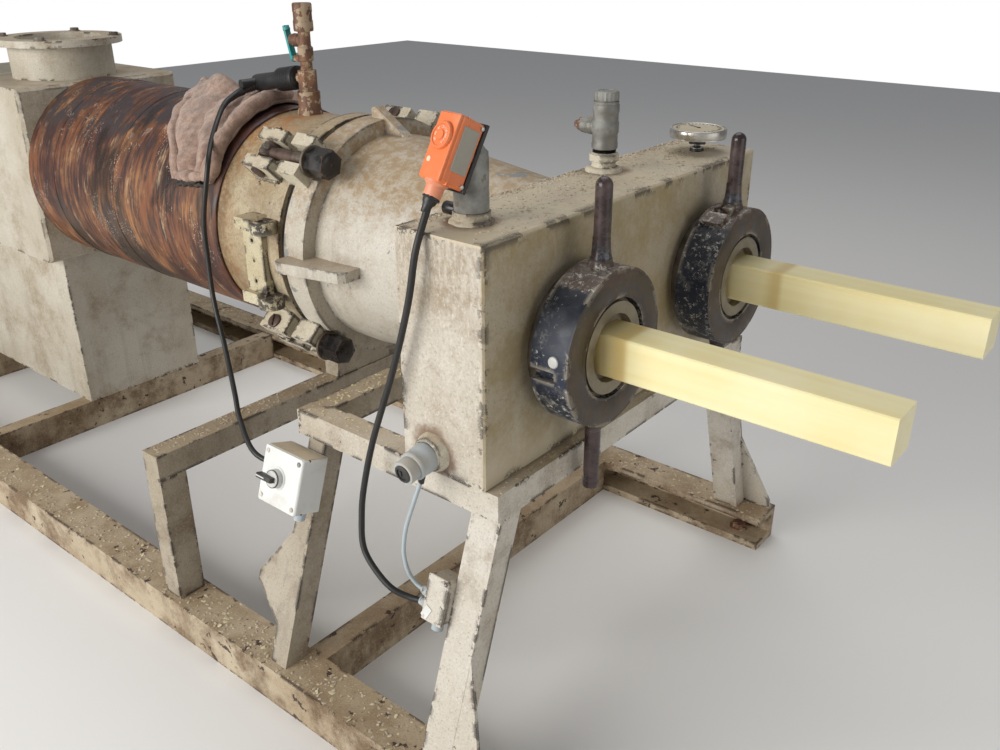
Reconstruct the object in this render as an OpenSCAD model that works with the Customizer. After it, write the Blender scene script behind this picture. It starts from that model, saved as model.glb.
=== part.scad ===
// Two-die bar extruder on a trestle frame
// X runs along the press towards the dies, Y along the die box, Z up from the floor

/* [Press line] */
// Height of the press centre line above the floor
axis_z = 778; // [720:1:860]
// Rear face of the die box, measured from the rear cross member
box_rear_x = 204; // [190:1:280]

/* [Die box] */
// Length of the die box across the press
box_l = 858; // [820:1:940]
// Depth of the die box along the press
box_d = 176; // [160:1:200]
// Height of the die box
box_h = 402; // [390:1:430]
// Bevel on the welded edges of the die box
box_bevel = 3; // [1:0.5:6]

/* [Dies] */
// Distance between the two die centres
die_pitch = 445; // [430:1:480]
// Shift of both dies towards the far end
die_shift = 10; // [0:1:16]
// Radius of the fixed die neck inside the ring nut
neck_r = 106; // [100:1:108]
// How far the neck stands out of the box
neck_len = 54; // [48:1:66]
// Thickness of the die plate behind its boss
plate_t = 22; // [16:1:26]
// Radius of the grey boss that shows in the ring nut
boss_r = 77; // [70:1:78]
// Height of that boss
boss_h = 12; // [8:1:14]
// Radius of the dark recess around the bar
recess_r = 57; // [54:0.5:62]
// Depth of the recess in the die plate
recess_d = 17; // [10:1:24]

/* [Pressed bars] */
// Side of the square bar
bar_side = 71; // [60:1:74]
// Length of bar that stands out past the die box
bar_out = 540; // [200:1:900]
// Rounding of the bar corners
bar_round = 2.5; // [1:0.5:5]
// Room between the bar and the die plate
bar_fit = 0.3; // [0.1:0.1:1]

/* [Ring nuts] */
// Outer radius of the ring nut
ring_r = 132; // [126:1:140]
// Gap between the box and the ring nut
ring_gap = 22; // [14:1:28]
// Radius of the opening in the front lip
lip_r = 83.5; // [83:0.5:88]
// Thickness of the front lip
lip_t = 9; // [7:1:17]
// Free depth between the die plate and the lip
lip_room = 5; // [5:0.5:9]
// Room between ring nut and neck all round
ring_room = 5; // [5:0.5:7]
// Length of neck thread inside the ring nut
thread_l = 26; // [16:1:28]
// Running room of that thread
thread_fit = 0.3; // [0.2:0.05:0.5]
// Radius of the handle rods
rod_r = 13.5; // [9:0.5:15]
// Length of the upper handle rod above the rim
rod_up = 138; // [110:1:180]
// Length of the lower rod below the rim
rod_down = 134; // [60:1:140]
// Radius of the weld collar at the foot of a rod
rod_weld_r = 18; // [15.5:0.5:21]
// Height of the weld collar above the rim
rod_weld_h = 12; // [6:1:18]
// Width of the spanner notch in the near ring nut
notch_w = 19; // [12:1:26]
// Length of the spanner notch along the rim
notch_l = 44; // [30:1:48]
// Depth of the spanner notch
notch_d = 14; // [8:1:16]
// Turn of the notch from the bottom of the ring
notch_turn = 84; // [60:1:100]
// Side of the key block on the far ring nut
key_side = 28; // [18:1:34]
// Height of the key block above the rim
key_h = 10; // [6:1:14]
// Turn of the key block from the top of the ring
key_turn = 28; // [20:1:60]

/* [Head casting] */
// Radius of the head cone at its flange
cone_r_big = 222; // [212:1:230]
// Radius of the head cone at the die box
cone_r_small = 176; // [165:1:190]
// Length of the straight part before the cone starts
cone_straight = 62; // [30:1:90]
// Front face of the head flange, measured behind the die box
head_len = 440; // [410:1:480]
// Thickness of the head flange
head_flange_t = 58; // [45:1:66]
// Radius of the two flanges
flange_r = 253; // [248:1:256]
// Gap between the flanges, filled by the seal
seal_t = 22; // [10:1:26]
// Radius of the seal
seal_r = 240; // [228:1:246]
// Thickness of the stiffening ribs
rib_t = 22; // [14:1:26]
// Reach of the side rib from the press line
rib_reach = 296; // [284:1:304]
// Length of the side rib
side_rib_l = 168; // [120:1:190]
// Length of the top fin
fin_l = 140; // [100:1:170]

/* [Barrel] */
// Thickness of the barrel flange
barrel_flange_t = 42; // [30:1:56]
// Radius of the barrel neck behind its flange
barrel_neck_r = 238; // [230:1:244]
// Length of the barrel neck
barrel_neck_l = 182; // [150:1:210]
// Radius of the barrel jacket
jacket_r = 244; // [240:1:252]
// Length of the barrel jacket
jacket_l = 820; // [650:1:950]

/* [Swing bolts] */
// Radius on which the swing bolts stand
bolt_pcd_r = 276; // [275:1:282]
// Radius of the bolt shank
shank_r = 13; // [10:0.5:14]
// Radius of the bolt eye
eye_r = 19; // [17:0.5:20]
// Radius of the bolt pin
pin_r = 9; // [7:0.5:10]
// Room between bolt eye and pin
pin_fit = 0.4; // [0.2:0.1:0.8]
// Gap between the two lugs of a pair
lug_gap = 40; // [38:1:46]
// Thickness of one lug
lug_t = 26; // [20:1:30]
// Length of a barrel lug along the press
rear_lug_l = 80; // [70:1:84]
// Length of a head lug along the press
front_lug_l = 58; // [46:1:60]
// How far the lugs stand out past the bolt radius
lug_over = 19; // [14:1:22]
// Width of the big nut across its flats
nut_af = 50; // [42:1:54]
// Length of the nut
nut_l = 50; // [34:1:56]
// Radius of the nut washer
washer_r = 31.5; // [28:0.5:33]
// Thickness of the washer
washer_t = 6; // [4:0.5:8]
// Gap between washer and lug while the bolt is loose
washer_gap = 2.8; // [2.4:0.1:5]

/* [Hinge bracket] */
// Distance of the hinge hole from the press centre
hinge_y = 262; // [258:1:270]
// Height over both knuckles
hinge_span = 184; // [160:1:200]
// Middle of the bracket below the press centre line
hinge_drop = 18; // [0:1:30]
// Height of one knuckle
knuckle_h = 24; // [16:1:30]
// Radius of one knuckle
knuckle_r = 27; // [22:1:32]
// Length of a knuckle plate behind its hole
knuckle_l = 78; // [60:1:90]
// Radius of the hinge hole
hinge_hole_r = 10; // [7:0.5:13]

/* [Frame] */
// Side of the square frame tubes
tube = 50; // [44:1:56]
// How far the frame reaches behind the rear cross member
frame_back = 79; // [60:1:95]
// How far the frame reaches past the die box
frame_front = 23; // [14:1:32]
// Inset of the frame from the ends of the die box
frame_inset = 5; // [0:1:10]
// Width of a front leg along the press
leg_w = 60; // [50:1:66]
// Width of a rear leg along the press
rear_leg_w = 44; // [38:1:52]
// Depth of a leg across the press
leg_d = 52; // [44:1:60]
// How far a leg spreads outwards on its way down
leg_spread = 147; // [120:1:160]
// Thickness of the gusset plates
gusset_t = 8; // [5:1:12]
// Width of the base rails
rail_w = 88; // [76:1:100]
// Height of the base rails
rail_h = 88; // [76:1:100]
// Wall of the base rails
rail_t = 18; // [10:0.5:22]
// Radius of the anchor holes
anchor_r = 9; // [6:0.5:11]
// Height of the stretchers
stretcher_h = 50; // [40:1:60]
// Top of the cross beam above the floor
beam_top_z = 435; // [410:1:440]
// Width of the cross beam
beam_w = 50; // [40:1:60]
// Height of the cross beam
beam_h = 55; // [44:1:66]
// Width of the saddle on the beam
saddle_w = 165; // [140:1:180]
// Thickness of the saddle on the beam
saddle_t = 44; // [30:1:50]

/* [Feed end] */
// Length of the feed chamber
feed_l = 370; // [340:1:420]
// Width of the feed chamber
feed_w = 470; // [440:1:500]
// Radius of the feed opening
inlet_r = 115; // [100:1:130]
// Wall of the feed neck
inlet_wall = 22; // [14:1:26]
// Height of the feed neck above the chamber
inlet_up = 105; // [70:1:130]
// Radius of the inlet flange
inlet_flange_r = 168; // [166:1:176]
// Thickness of the inlet flange
inlet_flange_t = 18; // [12:1:22]
// Pitch circle radius of the inlet holes
inlet_pcd_r = 152; // [148:1:156]
// Radius of an inlet hole
inlet_hole_r = 7; // [5:0.5:9]
// Length of the gearbox
gear_l = 330; // [290:1:380]
// Width of the gearbox
gear_w = 400; // [360:1:430]
// Height of the gearbox
gear_h = 460; // [420:1:490]
// Radius of the motor
motor_r = 130; // [110:1:145]
// Length of the motor
motor_l = 390; // [320:1:450]

/* [Fittings] */
// Thermostat pocket, distance from the near end of the box
pocket_y = 88; // [70:1:110]
// Radius of the pocket pipe
pocket_r = 26; // [20:0.5:30]
// Width of the thermostat case
case_w = 50; // [44:1:56]
// Height of the thermostat case
case_h = 100; // [92:1:108]
// Depth of the thermostat case
case_d = 46; // [40:1:50]
// Backward lean of the thermostat case
case_lean = 27.5; // [20:0.5:35]
// Turn of the thermostat case
case_turn = 10; // [0:1:20]
// Radius of the thermostat dial
dial_r = 20; // [15:0.5:21]
// Radius of the dial thermometer
gauge_r = 56; // [44:1:60]
// Side of the selector box
selector_side = 106; // [92:1:114]
// Depth of the selector box
selector_d = 62; // [50:1:72]
// Width of the junction box
junction_w = 44; // [38:1:50]
// Height of the junction box
junction_h = 82; // [74:1:90]
// Depth of the junction box
junction_d = 38; // [34:1:44]
// Radius of the two black cables
cable_r = 5.5; // [4:0.25:6.5]
// Radius of the pale cable to the heater plug
thin_cable_r = 3.75; // [3:0.25:4.5]

/* [Hidden] */
$fn = 64;

// Main levels and stations of the press
box_z0 = axis_z - box_h / 2;
box_top = axis_z + box_h / 2;
box_front_x = box_rear_x + box_d;
head_flange_x = box_rear_x - head_len;
part_x = head_flange_x - head_flange_t;
barrel_face_x = part_x - seal_t;
neck_x = barrel_face_x - barrel_flange_t;
jacket_front_x = neck_x - barrel_neck_l;
jacket_rear_x = jacket_front_x - jacket_l;
feed_rear_x = jacket_rear_x - feed_l;
gear_rear_x = feed_rear_x - gear_l;
feed_mid_x = jacket_rear_x - feed_l / 2;
feed_z0 = axis_z - feed_w / 2;
inlet_z = axis_z + feed_w / 2 + inlet_up;
motor_up = 100;
motor_z = axis_z + motor_up;
ring_x = box_front_x + ring_gap;
ring_w = neck_len + plate_t + lip_room + lip_t - ring_gap;
plate_x = box_front_x + neck_len;
near_y = die_shift - die_pitch / 2;
far_y = die_shift + die_pitch / 2;

// Swing bolts, lugs and nuts
bolt_angles = [45, 135, 225, 315];
lug_step_back = 20;
washer_room = 5.5;
front_lug_x = head_flange_x - lug_step_back;
lug_face_back = 24;
rear_lug_x = barrel_face_x - lug_face_back;
pin_x = rear_lug_x - rear_lug_l / 2 - 2;
nut_x = front_lug_x + washer_gap;
shank_l = nut_x + washer_t + nut_l + 2 - pin_x;
hinge_sink = 3;
eye_side_room = 5;
pin_over = 2;

// Frame
frame_top_z = box_z0;
frame_y = box_l / 2 - frame_inset;
frame_x0 = -frame_back;
frame_x1 = box_front_x + frame_front;
leg_inset = 8;
seat_run = 0.3;
leg_top_z = frame_top_z - tube;
leg_top_y = frame_y - leg_d / 2 - leg_inset;
leg_foot_y = leg_top_y + leg_spread;
leg_slope = leg_spread / (leg_top_z - rail_h);
leg_tilt = atan(leg_slope);
front_leg_x = frame_x1 - leg_w - 1;
rear_leg_x = frame_x0 + 21;
rail_y = leg_foot_y;
rail_over = 70;
support_x = neck_x - saddle_t / 2;
post_d = 60;
gusset_sink = 0.5;
front_gusset_h = 210;
front_gusset_w = 66;
rear_gusset_z = 232;
rear_gusset_w = 74;
rear_gusset_h = 240;

// Stations of the fittings on the box
pocket_x = box_rear_x + box_d / 2;
top_mid_y = -box_l / 2 + pocket_y;
case_face = [pocket_x - 19, top_mid_y - 52, box_top + 121];
gland_r = 13;
gland_l = 24;
gland_cap_r = 11;
gland_cap_l = 6;
back_plate_t = 4;
dial_up = 14;
dial_t = 6;
pocket_h = 106;
pocket_cap_h = 8;
pocket_boss_r = 29;
pocket_boss_h = 18;
side_tube_r = 9;
side_tube_l = 32;
side_tube_z = 16;
vent_x = box_rear_x + 42;
vent_y = 77;
vent_foot_r = 30;
vent_foot_h = 6;
vent_neck_r = 20;
vent_rim_r = 26;
vent_rim_z = 19;
vent_rim_h = 13;
vent_body_r = 23;
vent_body_z = 41;
vent_body_h = 84;
vent_cap_z = 128;
vent_cap_h = 14;
vent_cap_r = 22;
vent_side_z = 78;
vent_side_r = 14;
vent_side_l = 48;
gauge_x = pocket_x + 3;
gauge_y = box_l / 2 - 86;
gauge_t = 17;
gauge_z = 28;
gauge_collar_r = 16;
gauge_collar_h = 14;
gauge_stem_r = 6;
gauge_foot_r = 13;
gauge_foot_h = 8;
heater_x = box_rear_x + 68;
heater_z = box_z0 + 37;
heater_boss_r = 28;
heater_boss_l = 16;
heater_bell_r = 24;
heater_bell_l = 30;
heater_plug_r = 19.5;
heater_plug_l = 20;
heater_droop = 8;

// Valve stack on the barrel neck
valve_x = jacket_front_x + 60;
valve_z = axis_z + barrel_neck_r - 4;
valve_boss_r = 24;
valve_boss_h = 52;
valve_hex_af = 35;
valve_hex_h = 44;
valve_pipe_r = 12.5;
valve_cap_r = 20;
valve_cap_z = 176;
valve_cap_h = 56;
branch_r = 10;
branch_z = 78;
branch_l = 30;
outlet_r = 12;
outlet_z = 156;
outlet_l = 41;
lever_z = 118;
lever_x = -42;
lever_l = 70;
lever_w = 14;
lever_t = 6;
lever_lean = 16;
lever_stem_r = 7;
lever_run = 0.3;
probe_r = 25;
probe_l = 60;
probe_grip_r = 18;
probe_grip_l = 90;
probe_tail_r = 11;
probe_tail_l = 50;
probe_turn = 80;
probe_droop = 9;

// Boxes on the legs
stand_off = 4;
selector_x = -46;
selector_down = 74;
selector_gland_r = 10;
selector_gland_l = 16;
back_gland_r = 9;
back_gland_l = 12;
back_gland_x = -38;
knob_x = -8;
knob_z = 0;
knob_r = 17;
knob_h = 12;
knob_run = 0.3;
knob_lever_l = 30;
junction_x = front_leg_x - junction_w / 2;
junction_down = 158;
junction_out = 17;
junction_gland_r = 8;
junction_gland_l = 14;
junction_gland_z = 10;
junction_gland_drop = 10;
junction_elbow_r = 10;
junction_elbow_l = 18;

// Rag over the barrel
rag_t = 22;
rag_l = 340;
rag_near = 64;
rag_far = 30;

// Cylinder that lies along the press line
module along(x0, len, r, y = 0, z = axis_z) {
  translate([x0, y, z])
    rotate([0, 90, 0])
      cylinder(r = r, h = len);
}

// Turns its child to an angle round the press line
module at_angle(a) {
  translate([0, 0, axis_z])
    rotate([a, 0, 0])
      children();
}

// Block with bevelled edges all round
module bevel_block(x, y, z, b) {
  intersection() {
    translate([b / 2, 0, 0])
      linear_extrude(height = z)
        polygon([[-b / 2, b], [b / 2, 0], [x - 3 * b / 2, 0], [x - b / 2, b],
          [x - b / 2, y - b], [x - 3 * b / 2, y], [b / 2, y], [-b / 2, y - b]]);
    translate([0, y, 0])
      rotate([90, 0, 0])
        linear_extrude(height = y)
          polygon([[0, b], [b, 0], [x - b, 0], [x, b], [x, z - b], [x - b, z], [b, z], [0, z - b]]);
  }
}

// Welded die box
module die_box() {
  color([0.86, 0.82, 0.72])
    translate([box_rear_x, -box_l / 2, box_z0])
      bevel_block(box_d, box_l, box_h, box_bevel);
}

// Shape of the head cone, with room all round and extra length at the flange
module cone_shape(room, over) {
  translate([0, 0, axis_z])
    rotate([0, 90, 0])
      rotate_extrude($fn = 96)
        polygon([[0, head_flange_x - over], [cone_r_big + room, head_flange_x - over],
          [cone_r_big + room, head_flange_x + cone_straight], [cone_r_small + room, box_rear_x],
          [0, box_rear_x]]);
}

// Cone of the head casting
module head_cone() {
  color([0.86, 0.82, 0.72])
    cone_shape(0, 0);
}

// Side rib and top fin welded to the head
module head_ribs() {
  in_r = cone_r_small - 30;
  rib_x0 = part_x + 12;
  rib_x1 = rib_x0 + side_rib_l;
  fin_x0 = part_x + 22;
  fin_x1 = fin_x0 + fin_l;
  color([0.86, 0.82, 0.72])
    difference() {
      union() {
        translate([0, 0, axis_z - rib_t / 2])
          linear_extrude(height = rib_t)
            polygon([[rib_x0, -in_r], [rib_x0, 14 - rib_reach], [rib_x0 + 6, 4 - rib_reach],
              [rib_x0 + 18, -rib_reach], [rib_x1 - 10, 32 - rib_reach], [rib_x1, 44 - rib_reach],
              [rib_x1, -in_r]]);
        translate([0, rib_t / 2, axis_z])
          rotate([90, 0, 0])
            linear_extrude(height = rib_t)
              polygon([[fin_x0, in_r], [fin_x0, flange_r + 20], [fin_x0 + 12, flange_r + 22],
                [fin_x1, cone_r_small + 18], [fin_x1, in_r]]);
      }
      along(part_x, head_flange_t, flange_r, $fn = 128);
      cone_shape(0, 1);
    }
}

// Flange of the head casting, with room for the washers of the swing bolts
module head_flange() {
  color([0.86, 0.82, 0.72])
    difference() {
      along(part_x, head_flange_t, flange_r, $fn = 128);
      for (a = bolt_angles)
        at_angle(a)
          translate([front_lug_x, 0, bolt_pcd_r])
            rotate([0, 90, 0])
              cylinder(r = washer_r + washer_room, h = lug_step_back + 1, $fn = 64);
    }
}

// One pair of lugs with an open slot between them
module lug_pair(x0, len) {
  foot = flange_r - 40;
  for (s = [-1, 1])
    translate([x0, s * (lug_gap + lug_t) / 2 - lug_t / 2, foot])
      cube([len, lug_t, bolt_pcd_r + lug_over - foot]);
}

// Four lug pairs that grow out of the head flange
module head_lugs() {
  color([0.88, 0.84, 0.74])
    difference() {
      for (a = bolt_angles)
        at_angle(a)
          lug_pair(front_lug_x - front_lug_l, front_lug_l);
      along(front_lug_x - front_lug_l - 1, front_lug_l + 2, flange_r, $fn = 128);
    }
}

// Dark seal between the flanges
module seal_ring() {
  color([0.13, 0.11, 0.10])
    along(barrel_face_x, seal_t, seal_r, $fn = 96);
}

// Flange and neck of the barrel
module barrel_flange() {
  color([0.84, 0.78, 0.64]) {
    along(neck_x, barrel_flange_t, flange_r - 3, $fn = 128);
    along(jacket_front_x, barrel_neck_l, barrel_neck_r, $fn = 96);
  }
}

// Empty hinge bracket beside the flange
module hinge_bracket() {
  eye_x = barrel_face_x - knuckle_r + 3;
  root_y = barrel_neck_r - 40;
  mid_z = axis_z - hinge_drop;
  web_t = 18;
  web_l = 60;
  hole_pitch = 44;
  color([0.84, 0.78, 0.64])
    difference() {
      union() {
        for (s = [-1, 1])
          translate([eye_x, -hinge_y, mid_z + s * (hinge_span - knuckle_h) / 2 - knuckle_h / 2]) {
            cylinder(r = knuckle_r, h = knuckle_h);
            translate([-knuckle_l, -knuckle_r / 2, 0])
              cube([knuckle_l, hinge_y - root_y + knuckle_r / 2, knuckle_h]);
          }
        translate([eye_x - knuckle_l + 6, -hinge_y, mid_z - hinge_span / 2 + knuckle_h])
          cube([web_l, web_t, hinge_span - 2 * knuckle_h]);
      }
      for (z = [hinge_span / 2, knuckle_h - hinge_span / 2])
        translate([eye_x, -hinge_y, mid_z + z - hinge_sink])
          cylinder(r = hinge_hole_r, h = hinge_sink + 1, $fn = 32);
      for (i = [-1 : 1])
        translate([eye_x - knuckle_l + 34, -hinge_y - 1, mid_z + i * hole_pitch])
          rotate([-90, 0, 0])
            cylinder(r = 4, h = 6, $fn = 24);
      along(neck_x, barrel_flange_t + 1, flange_r - 3, $fn = 128);
      along(jacket_front_x, barrel_neck_l + 1, barrel_neck_r, $fn = 96);
    }
}

// Four clevis pairs that grow out of the barrel flange
module barrel_lugs() {
  color([0.88, 0.83, 0.70])
    difference() {
      for (a = bolt_angles)
        at_angle(a)
          difference() {
            lug_pair(rear_lug_x - rear_lug_l, rear_lug_l);
            translate([pin_x, 0, bolt_pcd_r])
              rotate([90, 0, 0])
                cylinder(r = pin_r, h = 4 * lug_gap, center = true, $fn = 32);
          }
      along(neck_x, barrel_flange_t + lug_gap, flange_r - 3, $fn = 128);
      along(neck_x - rear_lug_l, rear_lug_l + 1, barrel_neck_r, $fn = 96);
    }
}

// Pins of the swing bolts
module clevis_pins() {
  color([0.30, 0.26, 0.22])
    for (a = bolt_angles)
      at_angle(a)
        translate([pin_x, 0, bolt_pcd_r])
          rotate([90, 0, 0])
            cylinder(r = pin_r, h = lug_gap + 2 * lug_t + 2 * pin_over, center = true, $fn = 32);
}

// One swing bolt with its eye, washer and nut
module swing_bolt(a) {
  color([0.16, 0.14, 0.13])
    at_angle(a)
      difference() {
        union() {
          translate([pin_x, 0, bolt_pcd_r]) {
            rotate([90, 0, 0])
              cylinder(r = eye_r, h = lug_gap - 2 * eye_side_room, center = true, $fn = 48);
            rotate([0, 90, 0])
              cylinder(r = shank_r, h = shank_l, $fn = 40);
          }
          translate([nut_x, 0, bolt_pcd_r])
            rotate([0, 90, 0])
              cylinder(r = washer_r, h = washer_t, $fn = 48);
          translate([nut_x + washer_t, 0, bolt_pcd_r])
            rotate([0, 90, 0])
              cylinder(r = nut_af / 2 / cos(30), h = nut_l, $fn = 6);
        }
        translate([pin_x, 0, bolt_pcd_r])
          rotate([90, 0, 0])
            cylinder(r = pin_r + pin_fit, h = lug_gap, center = true, $fn = 32);
      }
}

module swing_bolt_1() {
  swing_bolt(bolt_angles[0]);
}

module swing_bolt_2() {
  swing_bolt(bolt_angles[1]);
}

module swing_bolt_3() {
  swing_bolt(bolt_angles[2]);
}

module swing_bolt_4() {
  swing_bolt(bolt_angles[3]);
}

// Insulated barrel jacket
module barrel_jacket() {
  color([0.42, 0.22, 0.14])
    along(jacket_rear_x, jacket_l, jacket_r, $fn = 128);
}

// Rag laid over the barrel behind its neck
module insulation_wrap() {
  color([0.55, 0.42, 0.37])
    translate([jacket_front_x - rag_l + 4, 0, axis_z])
      rotate([0, 90, 0])
        rotate([0, 0, 180 - rag_far])
          rotate_extrude(angle = rag_near + rag_far, $fn = 64)
            translate([jacket_r + 0.3, 0])
              square([rag_t, rag_l]);
}

// Fixed neck that carries one die
module die_neck(y) {
  color([0.40, 0.34, 0.28]) {
    along(box_front_x, neck_len, neck_r, y, $fn = 96);
    along(box_front_x, ring_gap + thread_l, neck_r + ring_room - thread_fit, y, $fn = 96);
  }
}

module die_neck_near() {
  die_neck(near_y);
}

module die_neck_far() {
  die_neck(far_y);
}

// Die plate with a round recess and a square opening
module die_plate(y) {
  hole = bar_side + 2 * bar_fit;
  color([0.52, 0.47, 0.42])
    difference() {
      union() {
        along(plate_x, plate_t, neck_r, y, $fn = 96);
        along(plate_x, plate_t + boss_h, boss_r, y, $fn = 96);
      }
      along(plate_x + plate_t + boss_h - recess_d, recess_d + 1, recess_r, y, $fn = 64);
      translate([plate_x - 1, y - hole / 2, axis_z - hole / 2])
        cube([plate_t + boss_h + 2, hole, hole]);
    }
}

module die_plate_near() {
  die_plate(near_y);
}

module die_plate_far() {
  die_plate(far_y);
}

// One pressed bar, cut square at its free end
module pressed_bar(y) {
  s = bar_side / 2;
  c = bar_round;
  color([0.95, 0.89, 0.66])
    translate([plate_x, y, axis_z])
      rotate([90, 0, 90])
        linear_extrude(height = bar_out - neck_len)
          polygon([[-s + c, -s], [s - c, -s], [s, -s + c], [s, s - c],
            [s - c, s], [-s + c, s], [-s, s - c], [-s, -s + c]]);
}

module bar_near() {
  pressed_bar(near_y);
}

module bar_far() {
  pressed_bar(far_y);
}

// Plain ring nut with its two rods
module ring_body(y) {
  difference() {
    union() {
      along(ring_x, ring_w, ring_r, y, $fn = 128);
      translate([ring_x + ring_w / 2, y, axis_z]) {
        cylinder(r = rod_r, h = ring_r + rod_up - rod_r, $fn = 32);
        translate([0, 0, ring_r + rod_up - rod_r])
          sphere(r = rod_r, $fn = 32);
        cylinder(r = rod_weld_r, h = ring_r + rod_weld_h, $fn = 32);
        rotate([180, 0, 0])
          cylinder(r = rod_r, h = ring_r + rod_down, $fn = 32);
      }
    }
    along(ring_x - 1, ring_w - lip_t + 1, neck_r + ring_room, y, $fn = 96);
    along(ring_x - 1, ring_w + 2, lip_r, y, $fn = 96);
  }
}

module ring_nut_near() {
  color([0.10, 0.10, 0.11])
    difference() {
      ring_body(near_y);
      translate([ring_x - 1, near_y, axis_z])
        rotate([-notch_turn, 0, 0])
          translate([0, -notch_w / 2, -ring_r - 1])
            cube([notch_l + 1, notch_w, notch_d + 1]);
    }
}

module ring_nut_far() {
  color([0.10, 0.10, 0.11]) {
    ring_body(far_y);
    translate([ring_x + 8, far_y, axis_z])
      rotate([key_turn, 0, 0])
        translate([0, -key_side / 2, ring_r - 3])
          cube([key_side + 16, key_side, key_h + 3]);
  }
}

// Mitred frame tube along the press
module frame_side(s) {
  color([0.85, 0.80, 0.69])
    translate([0, 0, frame_top_z - tube])
      linear_extrude(height = tube)
        polygon([[frame_x0, s * frame_y], [frame_x1, s * frame_y],
          [frame_x1 - tube, s * (frame_y - tube)], [frame_x0 + tube, s * (frame_y - tube)]]);
}

module frame_near() {
  frame_side(-1);
}

module frame_far() {
  frame_side(1);
}

// Mitred frame tube across the press
module frame_cross(xo, xi) {
  color([0.85, 0.80, 0.69])
    translate([0, 0, frame_top_z - tube])
      linear_extrude(height = tube)
        polygon([[xo, -frame_y], [xo, frame_y], [xi, frame_y - tube], [xi, -frame_y + tube]]);
}

module frame_front_bar() {
  frame_cross(frame_x1, frame_x1 - tube);
}

module frame_rear_bar() {
  difference() {
    frame_cross(frame_x0, frame_x0 + tube);
    cone_shape(seat_run, 1);
  }
}

// Splayed leg between the frame and a base rail
module leg(x0, w, s) {
  translate([x0 + w, 0, 0])
    rotate([90, 0, -90])
      linear_extrude(height = w)
        polygon([[-s * (leg_top_y - leg_d / 2), leg_top_z], [-s * (leg_top_y + leg_d / 2), leg_top_z],
          [-s * (leg_foot_y + leg_d / 2), rail_h], [-s * (leg_foot_y - leg_d / 2), rail_h]]);
}

// Flat plate in the outer face of a leg, drawn as X along and down the leg
module leg_plate(x0, s, pts) {
  mirror([0, s > 0 ? 1 : 0, 0])
    translate([x0, -leg_foot_y - leg_d / 2, rail_h])
      rotate([90 - leg_tilt, 0, 0])
        translate([0, 0, -gusset_t - gusset_sink])
          linear_extrude(height = gusset_t)
            polygon(pts);
}

// Front leg with the tapered gusset at its foot
module front_leg(s) {
  k = 1 / cos(leg_tilt);
  foot = gusset_t * leg_slope + 2;
  color([0.84, 0.80, 0.70]) {
    leg(front_leg_x, leg_w, s);
    leg_plate(front_leg_x + leg_w, s,
      [[-1, foot], [front_gusset_w, foot], [front_gusset_w, 30], [-1, front_gusset_h * k]]);
  }
}

// Rear leg with the pointed gusset half way up
module rear_leg(s) {
  k = 1 / cos(leg_tilt);
  mid = (rear_gusset_z - rail_h) * k;
  color([0.84, 0.80, 0.70]) {
    leg(rear_leg_x, rear_leg_w, s);
    leg_plate(rear_leg_x, s, [[1, mid - rear_gusset_h / 3], [1, mid + rear_gusset_h / 2],
      [-rear_gusset_w, mid + 8], [-rear_gusset_w, mid - 10]]);
  }
}

module leg_front_near() {
  front_leg(-1);
}

module leg_front_far() {
  front_leg(1);
}

module leg_rear_near() {
  rear_leg(-1);
}

module leg_rear_far() {
  rear_leg(1);
}

// Channel rail on the floor
module base_rail(s) {
  rail_l = frame_x1 + 2 * rail_over - gear_rear_x;
  color([0.80, 0.74, 0.62])
    difference() {
      translate([gear_rear_x - rail_over, s * rail_y - rail_w / 2, 0])
        cube([rail_l, rail_w, rail_h]);
      translate([gear_rear_x - rail_over - 1, s * rail_y - rail_w / 2 - (s > 0 ? 1 : -rail_t), rail_t])
        cube([rail_l + 2, rail_w - rail_t + 1, rail_h - 2 * rail_t]);
      for (x = [gear_rear_x, frame_x1])
        translate([x, s * rail_y, -1])
          cylinder(r = anchor_r, h = rail_t + 2, $fn = 32);
    }
}

module base_rail_near() {
  base_rail(-1);
}

module base_rail_far() {
  base_rail(1);
}

// Cross member between the base rails
module stretcher(x) {
  w = 2 * rail_y - rail_w;
  color([0.80, 0.75, 0.64])
    translate([x - tube / 2, -w / 2, 0])
      cube([tube, w, rail_h]);
}

module stretcher_front() {
  stretcher(0);
}

module stretcher_mid() {
  stretcher(jacket_rear_x - tube);
}

module stretcher_rear() {
  stretcher(gear_rear_x + tube);
}

// Beam and saddle that carry the barrel neck
module support_beam() {
  saddle_z = axis_z - barrel_neck_r + 18;
  color([0.80, 0.76, 0.66]) {
    translate([support_x - beam_w / 2, -rail_y - post_d / 2, beam_top_z - beam_h])
      cube([beam_w, 2 * rail_y + post_d, beam_h]);
    difference() {
      translate([support_x - saddle_t / 2, -saddle_w / 2, beam_top_z])
        cube([saddle_t, saddle_w, saddle_z - beam_top_z]);
      along(support_x - saddle_t, 2 * saddle_t, barrel_neck_r);
    }
  }
}

// Post between a base rail and the beam
module support_post(s) {
  color([0.80, 0.76, 0.66])
    translate([support_x - beam_w / 2, s * rail_y - post_d / 2, rail_h])
      cube([beam_w, post_d, beam_top_z - beam_h - rail_h]);
}

module support_post_near() {
  support_post(-1);
}

module support_post_far() {
  support_post(1);
}

// Closed feed chamber
module feed_chamber() {
  color([0.84, 0.80, 0.70])
    translate([feed_rear_x, -feed_w / 2, feed_z0])
      bevel_block(feed_l, feed_w, feed_w, 8);
}

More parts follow.
